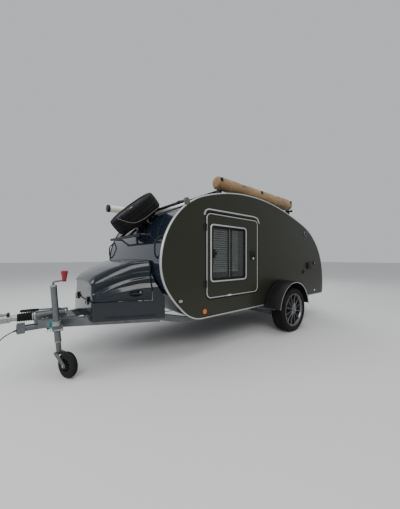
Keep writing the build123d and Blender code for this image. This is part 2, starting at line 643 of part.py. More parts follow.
with BuildPart() as locker_hollow:
    with BuildSketch(Plane.XY.offset(BEAM_Z + LOCKER_WALL)):
        locker_plan(LOCKER_WALL)
    extrude(amount=SEAM_Z + GAP / 2 - BEAM_Z - LOCKER_WALL + 1)
    add(room_inner, mode=Mode.SUBTRACT)
with BuildPart() as front_locker:
    with BuildSketch(Plane.XY.offset(LOCKER_Z0)):
        locker_plan(0.0)
    extrude(amount=SEAM_Z + GAP / 2 - LOCKER_Z0)
    add(lid_form(0.0))
    block(-BIG, BIG, at(-1000), at(LID_REAR + GAP), SEAM_Z - GAP / 2, 1300, mode=Mode.SUBTRACT)
    add(room_outer, mode=Mode.SUBTRACT)
    add(locker_hollow.part, mode=Mode.SUBTRACT)
    add(lid_hollow.part, mode=Mode.SUBTRACT)
    # the skirt hangs round the beams, below the floor
    with BuildSketch(Plane.XY.offset(LOCKER_Z0 - 50)):
        locker_plan(LOCKER_WALL)
    extrude(amount=BEAM_Z - LOCKER_Z0 + 50, mode=Mode.SUBTRACT)
    block(-BIG, BIG, at(LOCKER_REAR - 30), at(LOCKER_REAR + 30), 0, BEAM_Z, mode=Mode.SUBTRACT)
    for sx in (1, -1):
        block(sx * 225 - 38, sx * 225 + 38, at(LOCKER_FRONT - 20), at(LOCKER_FRONT + 20), 0, BEAM_Z,
              mode=Mode.SUBTRACT)
finish(front_locker.part, "front_locker")

with BuildPart() as locker_hinges:
    for x in (-210, 210):
        for x0, x1 in ((x - 45, x - 20.6), (x + 20.6, x + 45)):
            rod((x0, at(LID_HINGE[0]), LID_HINGE[1]), (x1, at(LID_HINGE[0]), LID_HINGE[1]), 6)
            block(x0, x1, at(LID_HINGE[0] - 2), at(LOCKER_FRONT), LID_HINGE[1] - 34, LID_HINGE[1] - 4)
        rod((x - 45, at(LID_HINGE[0]), LID_HINGE[1]), (x + 45, at(LID_HINGE[0]), LID_HINGE[1]), 3)
with BuildPart() as hinge_brackets:
    add(door_hinges.part)
    add(hatch_hinges.part)
    add(locker_hinges.part)
finish(hinge_brackets.part, "hinge_brackets")

# ---------------------------------------------------------------- nose handles
HANDLE_X = 660.0
HANDLE_LINE = [(66, 1230), (-18, 1186), (-18, 1040), (30, 996)]
HANDLE_BEND, HANDLE_R = 90.0, 8.0
with BuildPart() as nose_handles:
    for sx in (1, -1):
        x = sx * HANDLE_X
        with BuildLine() as loop:
            FilletPolyline(*[(x, at(s), z) for s, z in HANDLE_LINE], radius=HANDLE_BEND)
        with BuildSketch(Plane(origin=loop.line @ 0, z_dir=loop.line % 0)):
            Circle(HANDLE_R)
        sweep(path=loop.line)
with BuildPart() as inner_void:
    with BuildSketch(Plane.YZ.offset(-700)):
        with BuildLine():
            body_outline()
        make_face()
        offset(amount=-SKIN_SET)
    extrude(amount=1400)
with BuildPart() as nose_handles_cut:
    add(nose_handles.part)
    add(inner_void.part, mode=Mode.SUBTRACT)
finish(nose_handles_cut.part, "nose_handles")

# ---------------------------------------------------------------- roof load
with BuildPart() as solid_body:
    with BuildSketch(Plane.YZ.offset(-800)):
        with BuildLine():
            body_outline()
        make_face()
        offset(amount=-SKIN_SET)
    extrude(amount=1600)

for label, s, z, r, x0, x1, foot_x in BARS:
    with BuildPart() as bar:
        rod((x0, at(s), z), (x1, at(s), z), r)
        if label == "front_roof_bar":
            # post under the storage tube
            block(TUBE_X - 12, TUBE_X + 12, at(s - 20), at(s + 20), z, TUBE_Z)
            rod((TUBE_X, at(s - 60), TUBE_Z), (TUBE_X, at(s + 60), TUBE_Z), TUBE_R, mode=Mode.SUBTRACT)
        for sx in (1, -1):
            block(sx * foot_x - 24, sx * foot_x + 24, at(s - 20), at(s + 20), z - 200, z - 3)
        add(solid_body.part, mode=Mode.SUBTRACT)
        block(-BIG, BIG, at(s - 100), at(s + 100), 0, 1400, mode=Mode.SUBTRACT)
    finish(bar.part, label)

# Inclined carrier for the spare wheel, on a low bar across the nose
LOW_BAR = (-62.0, 1252.0)
SPARE_TILT = 42.8       # degrees up from level, towards the tail
rise = Vector(0, -math.sin(math.radians(SPARE_TILT)), math.cos(math.radians(SPARE_TILT)))
spare_mid = Vector(0, at(75), 1550)
spare_pl = Plane(origin=spare_mid, x_dir=(1, 0, 0), z_dir=rise)
with BuildPart() as spare_carrier:
    rod((-430, at(LOW_BAR[0]), LOW_BAR[1]), (430, at(LOW_BAR[0]), LOW_BAR[1]), 16)
    for sx in (1, -1):
        rod((sx * 400, at(LOW_BAR[0]), LOW_BAR[1]), (sx * 400, at(120), LOW_BAR[1]), 10)
        a = Vector(sx * 130, at(LOW_BAR[0]), LOW_BAR[1])
        b = Vector(sx * 130, at(BARS[0][1]), BARS[0][2])
        d = (b - a).normalized()
        rod(a, b - d * BARS[0][3], 14)
    # stub that the spare wheel is bolted to, on a cross bar between the rails
    rod(spare_mid - rise * (TYRE_W / 2 + 24) + Vector(-130, 0, 0),
        spare_mid - rise * (TYRE_W / 2 + 24) + Vector(130, 0, 0), 14)
    rod(spare_mid - rise * (TYRE_W / 2 + 24), spare_mid - rise * (TYRE_W / 2), 60)
    add(solid_body.part, mode=Mode.SUBTRACT)
finish(spare_carrier.part, "spare_carrier")

with BuildPart() as spare_wheel:
    with BuildSketch(spare_pl.offset(-TYRE_W / 2)):
        Circle(TYRE_R)
    extrude(amount=TYRE_W)
    fillet(spare_wheel.edges().filter_by(GeomType.CIRCLE), 32)
    with BuildSketch(spare_pl.offset(TYRE_W / 2 - 30)):
        Circle(RIM_R - 12)
    extrude(amount=60, mode=Mode.SUBTRACT)
finish(spare_wheel.part, "spare_wheel")

# Storage tube along the right side of the rack: on a post of the front bar, and
# hung under the middle bar's end
with BuildPart() as storage_tube:
    rod((TUBE_X, at(-10), TUBE_Z), (TUBE_X, at(1500), TUBE_Z), TUBE_R)
    # saddle under the middle bar
    block(TUBE_X - 14, TUBE_X + 14, at(BARS[1][1] - 20), at(BARS[1][1] + 20), TUBE_Z + 20, BARS[1][2])
    rod((-900, at(BARS[1][1]), BARS[1][2]), (-700, at(BARS[1][1]), BARS[1][2]), BARS[1][3], mode=Mode.SUBTRACT)
finish(storage_tube.part, "storage_tube")

# Rolled awning in its bag along the left side of the rack
BAG_X, BAG_R0, BAG_R1 = 590.0, 80.0, 92.0
BAG_S0, BAG_S1 = 822.0, 2462.0
bag_z0 = BARS[1][2] + BARS[1][3] + BAG_R0 + 0.3
bag_z1 = BARS[2][2] + BARS[2][3] + BAG_R1 + 0.3
with BuildPart() as awning_bag:
    with BuildSketch(Plane.XZ.offset(-at(BAG_S0))):
        with Locations((BAG_X, bag_z0 + 1.5)):
            Circle(BAG_R0)
    with BuildSketch(Plane.XZ.offset(-at(BAG_S1))):
        with Locations((BAG_X, bag_z1 - 1.0)):
            Circle(BAG_R1)
    loft()
    fillet(awning_bag.edges().filter_by(GeomType.CIRCLE), 28)
finish(awning_bag.part, "awning_bag")

# ---------------------------------------------------------------- lamps and fittings
with BuildPart() as side_markers:
    for sx in (1, -1):
        for s, z in ((526, 449), (3065, 451)):
            rod((sx * HALF_W, at(s), z), (sx * (HALF_W + 9), at(s), z), 30 if s < 1000 else 22)
finish(side_markers.part, "side_markers")

with BuildPart() as front_markers:
    for sx in (1, -1):
        with BuildSketch(Plane.YZ.offset(HALF_W if sx > 0 else -HALF_W - 10)):
            with Locations((at(220), 594)):
                Ellipse(38, 18)
        extrude(amount=10)
finish(front_markers.part, "front_markers")

with BuildPart() as side_inlets:
    block(HALF_W, HALF_W + 26, at(2790), at(2960), 828, 946)
    block(HALF_W, HALF_W + 14, at(3022), at(3106), 902, 960)
    rod((HALF_W, at(2672), 790), (HALF_W + 12, at(2672), 790), 34)
    rod((HALF_W, at(2748), 1420), (HALF_W + 12, at(2748), 1420), 46)
finish(side_inlets.part, "side_inlets")

with BuildPart() as rear_lights:
    for sx in (1, -1):
        block(sx * 560 - 105, sx * 560 + 105, at(TAIL_S - 16), at(TAIL_S + 34), 470, 570)
    add(solid_body.part, mode=Mode.SUBTRACT)
finish(rear_lights.part, "rear_lights")

with BuildPart() as number_plate:
    block(-260, 260, at(TAIL_S - 16), at(TAIL_S + 12), 455, 565)
    add(solid_body.part, mode=Mode.SUBTRACT)
finish(number_plate.part, "number_plate")

# ---------------------------------------------------------------- towing lead
LEAD_D = 9.0
LEAD_ROUTE = [          # x, s, z
    (20, -1048, 374),
    (20, -1084, 358),
    (21, -1121, 332),
    (24, -1151, 291),
    (30, -1172, 240),
    (38, -1186, 184),
    (47, -1199, 124),
    (57, -1212, 68),
    (65, -1236, 26),
    (70, -1272, 7),
    (72, -1310, 5),
]
COIL_AT = (122.0, -1310.0)
COIL_R = 50.0
with BuildPart() as lead_gland:
    with BuildSketch(Plane.XZ.offset(-at(-1020))):
        with Locations((20, 382)):
            Circle(11)
    extrude(amount=6)
    with BuildSketch(Plane.XZ.offset(-at(-1026))):
        with Locations((20, 382)):
            Circle(9)
    with BuildSketch(Plane(origin=(20, at(-1048), 374), z_dir=(0, -36, -16))):
        Circle(LEAD_D / 2 + 1.5)
    loft()
finish(lead_gland.part, "lead_gland")

route = [Vector(x, at(s), z) for x, s, z in LEAD_ROUTE]
radii = []
for a, b, c in zip(route, route[1:], route[2:]):
    turn = (b - a).get_angle(c - b)
    shorter = min((b - a).length, (c - b).length)
    radii.append(0.45 * shorter / math.tan(math.radians(turn / 2)))
print("lead radii", [round(r) for r in radii], "least", round(min(radii) / LEAD_D, 1), "diameters")
with BuildPart() as towing_lead:
    with BuildLine() as path:
        FilletPolyline(*route, radius=radii)
    with BuildSketch(Plane(origin=path.line @ 0, z_dir=path.line % 0)):
        Circle(LEAD_D / 2)
    sweep(path=path.line)
lead_length = sum(edge.length for edge in path.line.edges())
print("lead length", round(lead_length), "volume ratio",
      round(towing_lead.part.volume / (math.pi * LEAD_D**2 / 4 * lead_length), 4))
finish(towing_lead.part, "towing_lead")

with BuildPart() as lead_plug:
    rod((COIL_AT[0] + COIL_R, at(COIL_AT[1] + 16), 22), (COIL_AT[0] + COIL_R, at(COIL_AT[1] + 34), 22), 14)
    rod((COIL_AT[0] + COIL_R, at(COIL_AT[1] + 34), 22), (COIL_AT[0] + COIL_R, at(COIL_AT[1] + 90), 22), 22)
finish(lead_plug.part, "lead_plug")

with BuildPart() as lead_coil:
    with BuildSketch():
        with Locations((COIL_AT[0], at(COIL_AT[1]))):
            Circle(COIL_R + LEAD_D)
            Circle(COIL_R - LEAD_D, mode=Mode.SUBTRACT)
    extrude(amount=2 * LEAD_D)
    add(towing_lead.part, mode=Mode.SUBTRACT)
    add(lead_plug.part, mode=Mode.SUBTRACT)
finish(lead_coil.part, "lead_coil")
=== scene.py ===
import math

import bpy
import bmesh
from mathutils import Vector, Matrix, noise


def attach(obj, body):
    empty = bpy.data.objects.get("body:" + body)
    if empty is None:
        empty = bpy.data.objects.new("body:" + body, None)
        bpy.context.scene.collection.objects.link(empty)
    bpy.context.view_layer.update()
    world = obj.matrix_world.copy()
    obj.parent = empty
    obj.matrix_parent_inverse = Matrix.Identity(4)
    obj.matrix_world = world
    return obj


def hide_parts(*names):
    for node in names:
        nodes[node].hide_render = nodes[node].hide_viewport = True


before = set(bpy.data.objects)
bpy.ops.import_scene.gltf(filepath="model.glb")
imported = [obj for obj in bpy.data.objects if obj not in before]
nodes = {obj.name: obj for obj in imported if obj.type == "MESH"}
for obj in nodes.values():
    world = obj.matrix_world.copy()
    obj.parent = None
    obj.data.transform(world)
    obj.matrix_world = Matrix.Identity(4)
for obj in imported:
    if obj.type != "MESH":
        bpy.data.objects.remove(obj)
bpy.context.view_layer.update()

# ------------------------------------------------------------------ dimensions
# Metres, in the frame of the CAD model: stations s run backwards from the nose.
NOSE_Y = -1.093
HALF_W = 0.738
WALL = 0.025
AXLE_S = 1.966
TYRE_R = 0.300
TYRE_W = 0.195
WHEEL_X = 0.877
RIM_R = 0.226
FENDER_R = 0.400
FENDER_X = 0.985
ROOF_LINE = [(0.111, 1.352), (0.522, 1.680), (1.139, 1.801), (1.931, 1.748),
             (2.693, 1.545), (3.163, 1.243), (3.396, 0.760), (3.396, 0.401)]
NOSE_UNDER = [(0.500, 0.376), (0.274, 0.461), (0.084, 0.680), (0.0, 0.960)]
DOOR = (0.554, 1.440, 0.578, 1.505, 0.062)
WINDOW = (0.608, 1.212, 0.750, 1.392, 0.048)
MULLION = (0.897, 0.951)


def at(s):
    """Y of a station s measured back from the nose tip."""
    return NOSE_Y + s


# ------------------------------------------------------------------ materials
def material(name, base, rough=0.5, metal=0.0, coat=0.0, vary=0.12, vary_scale=6.0,
             rough_vary=0.08, bump=0.0, bump_scale=200.0, bump_dist=0.001, bump_kind="noise",
             sheen=0.0, transmission=0.0, ior=None, dirt_and_shade=None, dirt_and_shade_amount=0.0, detail=4.0,
             stretch=(1, 1, 1), spec=None, subsurface=0.0):
    """Principled surface with colour, roughness and relief from procedural nodes."""
    m = bpy.data.materials.new(name)
    m.use_nodes = True
    nt = m.node_tree
    bsdf = nt.nodes["Principled BSDF"]
    bsdf.inputs["Metallic"].default_value = metal
    bsdf.inputs["Coat Weight"].default_value = coat
    bsdf.inputs["Coat Roughness"].default_value = 0.06
    if sheen:
        bsdf.inputs["Sheen Weight"].default_value = sheen
    if transmission:
        bsdf.inputs["Transmission Weight"].default_value = transmission
    if ior:
        bsdf.inputs["IOR"].default_value = ior
    if spec is not None:
        bsdf.inputs["Specular IOR Level"].default_value = spec
    if subsurface:
        bsdf.inputs["Subsurface Weight"].default_value = subsurface
        bsdf.inputs["Subsurface Radius"].default_value = (0.01, 0.008, 0.006)
    co = nt.nodes.new("ShaderNodeTexCoord")
    mp = nt.nodes.new("ShaderNodeMapping")
    mp.inputs["Scale"].default_value = stretch
    nt.links.new(co.outputs["Object"], mp.inputs["Vector"])
    n1 = nt.nodes.new("ShaderNodeTexNoise")
    n1.inputs["Scale"].default_value = vary_scale
    n1.inputs["Detail"].default_value = detail
    nt.links.new(mp.outputs["Vector"], n1.inputs["Vector"])
    ramp = nt.nodes.new("ShaderNodeValToRGB")
    ramp.color_ramp.elements[0].position = 0.3
    ramp.color_ramp.elements[1].position = 0.7
    ramp.color_ramp.elements[0].color = (*[c * (1 - vary) for c in base], 1)
    ramp.color_ramp.elements[1].color = (*[min(1.0, c * (1 + vary)) for c in base], 1)
    nt.links.new(n1.outputs["Fac"], ramp.inputs["Fac"])
    colour = ramp.outputs["Color"]
    # blend towards a given colour lower down, by height: real mud on most materials, painted shade on the storage
    # tube's underside
    if dirt_and_shade:
        geo = nt.nodes.new("ShaderNodeSeparateXYZ")
        nt.links.new(co.outputs["Object"], geo.inputs["Vector"])
        low = nt.nodes.new("ShaderNodeMapRange")
        low.inputs["From Min"].default_value = dirt_and_shade[3]
        low.inputs["From Max"].default_value = dirt_and_shade[4]
        low.inputs["To Min"].default_value = dirt_and_shade_amount
        low.inputs["To Max"].default_value = 0.0
        nt.links.new(geo.outputs["Z"], low.inputs["Value"])
        n3 = nt.nodes.new("ShaderNodeTexNoise")
        n3.inputs["Scale"].default_value = 14.0
        n3.inputs["Detail"].default_value = 8.0
        nt.links.new(co.outputs["Object"], n3.inputs["Vector"])
        mul = nt.nodes.new("ShaderNodeMath")
        mul.operation = "MULTIPLY"
        nt.links.new(low.outputs["Result"], mul.inputs[0])
        nt.links.new(n3.outputs["Fac"], mul.inputs[1])
        mix = nt.nodes.new("ShaderNodeMixRGB")
        nt.links.new(mul.outputs["Value"], mix.inputs["Fac"])
        nt.links.new(colour, mix.inputs["Color1"])
        mix.inputs["Color2"].default_value = (*dirt_and_shade[:3], 1)
        colour = mix.outputs["Color"]
    nt.links.new(colour, bsdf.inputs["Base Color"])
    n2 = nt.nodes.new("ShaderNodeTexNoise")
    n2.inputs["Scale"].default_value = vary_scale * 3.1
    n2.inputs["Detail"].default_value = 5.0
    nt.links.new(mp.outputs["Vector"], n2.inputs["Vector"])
    rr = nt.nodes.new("ShaderNodeMapRange")
    rr.inputs["To Min"].default_value = max(0.02, rough - rough_vary)
    rr.inputs["To Max"].default_value = min(1.0, rough + rough_vary)
    nt.links.new(n2.outputs["Fac"], rr.inputs["Value"])
    nt.links.new(rr.outputs["Result"], bsdf.inputs["Roughness"])
    if bump:
        if bump_kind == "weave":
            wa = nt.nodes.new("ShaderNodeTexWave")
            wb = nt.nodes.new("ShaderNodeTexWave")
            wa.bands_direction, wb.bands_direction = "Y", "Z"
            for w in (wa, wb):
                w.inputs["Scale"].default_value = bump_scale
                w.inputs["Distortion"].default_value = 1.2
                nt.links.new(co.outputs["Object"], w.inputs["Vector"])
            src = nt.nodes.new("ShaderNodeMath")
            src.operation = "ADD"
            nt.links.new(wa.outputs["Fac"], src.inputs[0])
            nt.links.new(wb.outputs["Fac"], src.inputs[1])
            out = src.outputs["Value"]
        elif bump_kind == "voronoi":
            src = nt.nodes.new("ShaderNodeTexVoronoi")
            src.inputs["Scale"].default_value = bump_scale
            nt.links.new(mp.outputs["Vector"], src.inputs["Vector"])
            out = src.outputs["Distance"]
        elif bump_kind == "wave":
            src = nt.nodes.new("ShaderNodeTexWave")
            src.bands_direction = "Z"
            src.inputs["Scale"].default_value = bump_scale
            src.inputs["Distortion"].default_value = 3.0
            src.inputs["Detail"].default_value = 3.0
            nt.links.new(mp.outputs["Vector"], src.inputs["Vector"])
            out = src.outputs["Fac"]
        else:
            src = nt.nodes.new("ShaderNodeTexNoise")
            src.inputs["Scale"].default_value = bump_scale
            src.inputs["Detail"].default_value = 3.0
            nt.links.new(mp.outputs["Vector"], src.inputs["Vector"])
            out = src.outputs["Fac"]
        b = nt.nodes.new("ShaderNodeBump")
        b.inputs["Strength"].default_value = bump
        b.inputs["Distance"].default_value = bump_dist
        nt.links.new(out, b.inputs["Height"])
        nt.links.new(b.outputs["Normal"], bsdf.inputs["Normal"])
    return m


def galvanised(name, base, rough):
    """Hot-dip zinc with its spangle: cells that differ in tone and gloss."""
    m = material(name, base, rough, metal=0.85, vary=0.1, vary_scale=9, bump=0.12, bump_scale=60,
                 dirt_and_shade=(0.10, 0.085, 0.07, 0.2, 0.5), dirt_and_shade_amount=0.35)
    nt = m.node_tree
    bsdf = nt.nodes["Principled BSDF"]
    co = nt.nodes["Texture Coordinate"]
    v = nt.nodes.new("ShaderNodeTexVoronoi")
    v.inputs["Scale"].default_value = 75.0
    nt.links.new(co.outputs["Object"], v.inputs["Vector"])
    sep = nt.nodes.new("ShaderNodeSeparateColor")
    nt.links.new(v.outputs["Color"], sep.inputs["Color"])
    r = nt.nodes.new("ShaderNodeMapRange")
    r.inputs["To Min"].default_value = rough - 0.12
    r.inputs["To Max"].default_value = rough + 0.12
    nt.links.new(sep.outputs["Red"], r.inputs["Value"])
    nt.links.new(r.outputs["Result"], bsdf.inputs["Roughness"])
    old = bsdf.inputs["Base Color"].links[0].from_socket
    mix = nt.nodes.new("ShaderNodeMixRGB")
    mix.blend_type = "MULTIPLY"
    mix.inputs["Fac"].default_value = 0.35
    tone = nt.nodes.new("ShaderNodeMapRange")
    tone.inputs["To Min"].default_value = 0.55
    tone.inputs["To Max"].default_value = 1.0
    nt.links.new(sep.outputs["Green"], tone.inputs["Value"])
    nt.links.new(old, mix.inputs["Color1"])
    nt.links.new(tone.outputs["Result"], mix.inputs["Color2"])
    nt.links.new(mix.outputs["Color"], bsdf.inputs["Base Color"])
    return m


MUD = (0.11, 0.095, 0.08)
M = {
    "side": material("side_paint", (0.0190, 0.0205, 0.0120), 0.38, coat=0.06, spec=0.25, vary=0.05, vary_scale=2.2,
                     rough_vary=0.05, bump=0.05, bump_scale=420, bump_dist=0.0004,
                     dirt_and_shade=(*MUD, 0.35, 0.75), dirt_and_shade_amount=0.15),
    "roof": material("roof_paint", (0.008, 0.012, 0.021), 0.14, coat=0.7, vary=0.12, vary_scale=2.0,
                     rough_vary=0.04, bump=0.04, bump_scale=26, bump_dist=0.0012),
    "gel": material("locker_gelcoat", (0.004, 0.0085, 0.014), 0.17, coat=0.42, spec=0.25, vary=0.15, vary_scale=3.0,
                    rough_vary=0.06, bump=0.05, bump_scale=30, bump_dist=0.001,
                    dirt_and_shade=(*MUD, 0.4, 0.7), dirt_and_shade_amount=0.10),
    "inner": material("inner_lining", (0.55, 0.53, 0.48), 0.6, vary=0.06, vary_scale=8, bump=0.2,
                      bump_scale=500, bump_dist=0.0004),
    "galv": galvanised("galvanised_steel", (0.165, 0.177, 0.185), 0.46),
    "zinc": galvanised("zinc_fittings", (0.37, 0.38, 0.37), 0.35),
    "trim": material("aluminium_trim", (0.52, 0.525, 0.52), 0.36, metal=0.6, vary=0.05, vary_scale=20,
                     bump=0.08, bump_scale=300, stretch=(1, 1, 6)),
    "alloy": material("alloy_wheel", (0.19, 0.19, 0.195), 0.33, metal=0.9, vary=0.06, vary_scale=12,
                      bump=0.06, bump_scale=260),
    "alloy_dark": material("wheel_barrel", (0.05, 0.05, 0.055), 0.5, metal=0.7, vary=0.15, vary_scale=12,
                           bump=0.1, bump_scale=200),
    "tyre": material("tyre_rubber", (0.009, 0.009, 0.009), 0.78, spec=0.16, vary=0.25, vary_scale=18, bump=0.35,
                     bump_scale=350, bump_dist=0.0006, dirt_and_shade=(*MUD, 0.0, 0.35), dirt_and_shade_amount=0.13),
    "plastic": material("black_plastic", (0.009, 0.009, 0.010), 0.48, spec=0.25, vary=0.12, vary_scale=25,
                        bump=0.3, bump_scale=700, bump_dist=0.0003),
    "fender": material("mudguard_plastic", (0.008, 0.008, 0.009), 0.44, spec=0.25, vary=0.15, vary_scale=9,
                       bump=0.15, bump_scale=500, bump_dist=0.0003, dirt_and_shade=(*MUD, 0.35, 0.6), dirt_and_shade_amount=0.14),
    "bar": material("black_powder_coat", (0.009, 0.009, 0.010), 0.44, spec=0.28, vary=0.1, vary_scale=30,
                    bump=0.3, bump_scale=900, bump_dist=0.0003),
    "rubber": material("black_rubber", (0.009, 0.009, 0.009), 0.75, spec=0.2, vary=0.15, vary_scale=30,
                       bump=0.2, bump_scale=500, bump_dist=0.0004),
    "glass": material("window_glass", (0.40, 0.43, 0.42), 0.05, vary=0.04, vary_scale=4, rough_vary=0.02,
                      transmission=0.92, ior=1.22),
    "slat": material("blind_slats", (0.62, 0.62, 0.58), 0.42, vary=0.05, vary_scale=20, bump=0.1,
                     bump_scale=200),
    "wood": material("birch_ply", (0.50, 0.34, 0.19), 0.45, coat=0.2, vary=0.22, vary_scale=5,
                     stretch=(1, 1, 9), bump=0.15, bump_scale=60, bump_kind="wave"),
    "mattress": material("mattress_fabric", (0.30, 0.31, 0.34), 0.9, sheen=0.4, vary=0.12,
                         vary_scale=30, bump=0.5, bump_scale=260, bump_kind="weave", bump_dist=0.0008),
    "canvas": material("awning_canvas", (0.25, 0.150, 0.055), 0.82, sheen=0.3, vary=0.28, vary_scale=3.2,
                       bump=0.45, bump_scale=210, bump_kind="weave", bump_dist=0.0007, detail=6),
    "webbing": material("webbing", (0.03, 0.03, 0.032), 0.8, vary=0.2, vary_scale=60, bump=0.6,
                        bump_scale=420, bump_kind="weave", bump_dist=0.0006),
    "strap": material("grey_webbing", (0.15, 0.15, 0.14), 0.75, vary=0.15, vary_scale=60, bump=0.6,
                      bump_scale=420, bump_kind="weave", bump_dist=0.0006),
    # the storage tube is painted darker brown on its lower half, below its axis at z 1.73: painted shade
    "cream": material("cream_plastic", (0.78, 0.74, 0.63), 0.34, vary=0.07, vary_scale=7, coat=0.2,
                      bump=0.05, bump_scale=90, dirt_and_shade=(0.3, 0.26, 0.2, 1.66, 1.73), dirt_and_shade_amount=0.5),
    "cap": material("bar_end_cap", (0.085, 0.082, 0.063), 0.5, vary=0.12, vary_scale=30, bump=0.2,
                    bump_scale=400),
    "orange": material("orange_lens", (0.60, 0.13, 0.006), 0.18, coat=0.5, vary=0.1, vary_scale=60,
                       bump=0.4, bump_scale=330, bump_kind="voronoi"),
    "red": material("red_lens", (0.42, 0.008, 0.008), 0.16, coat=0.8, vary=0.1, vary_scale=60,
                    bump=0.4, bump_scale=330, bump_kind="voronoi"),
    "white": material("clear_lens", (0.50, 0.50, 0.48), 0.16, coat=0.8, vary=0.05, vary_scale=60,
                      bump=0.4, bump_scale=330, bump_kind="voronoi"),
    "plate": material("blank_plate", (0.80, 0.80, 0.77), 0.4, vary=0.03, vary_scale=20, bump=0.2,
                      bump_scale=900, bump_kind="voronoi", bump_dist=0.0002),
    "lead": material("lead_sheath", (0.016, 0.016, 0.016), 0.5, vary=0.1, vary_scale=60, bump=0.15,
                     bump_scale=500, bump_dist=0.0003),
    "redgrip": material("red_grip", (0.24, 0.004, 0.014), 0.40, vary=0.1, vary_scale=40, bump=0.2,
                        bump_scale=500),
    "twine": material("turquoise_twine", (0.030, 0.20, 0.18), 0.6, vary=0.25, vary_scale=120, bump=0.5, bump_scale=600,
                      bump_dist=0.0004),
    "chrome": material("chrome", (0.86, 0.86, 0.87), 0.10, metal=1.0, vary=0.03, vary_scale=30,
                       rough_vary=0.04),
    # painted shade: near-black filler put in slots and hollows (key slot, bolt seats, finger pulls) where shade falls
    "recess_shade": material("painted_recess_shade", (0.006, 0.006, 0.006), 0.8, vary=0.2, vary_scale=30),
    "ply_edge": material("steel_worktop", (0.55, 0.55, 0.56), 0.35, metal=0.9, vary=0.05, vary_scale=30,
                         bump=0.1, bump_scale=200, stretch=(8, 1, 1)),
}


def set_mat(name, *keys):
    """Gives a carried-over CAD node its material."""
    o = nodes[name]
    o.data.materials.clear()
    o.data.materials.append(M[keys[0]])
    for p in o.data.polygons:
        p.material_index = 0


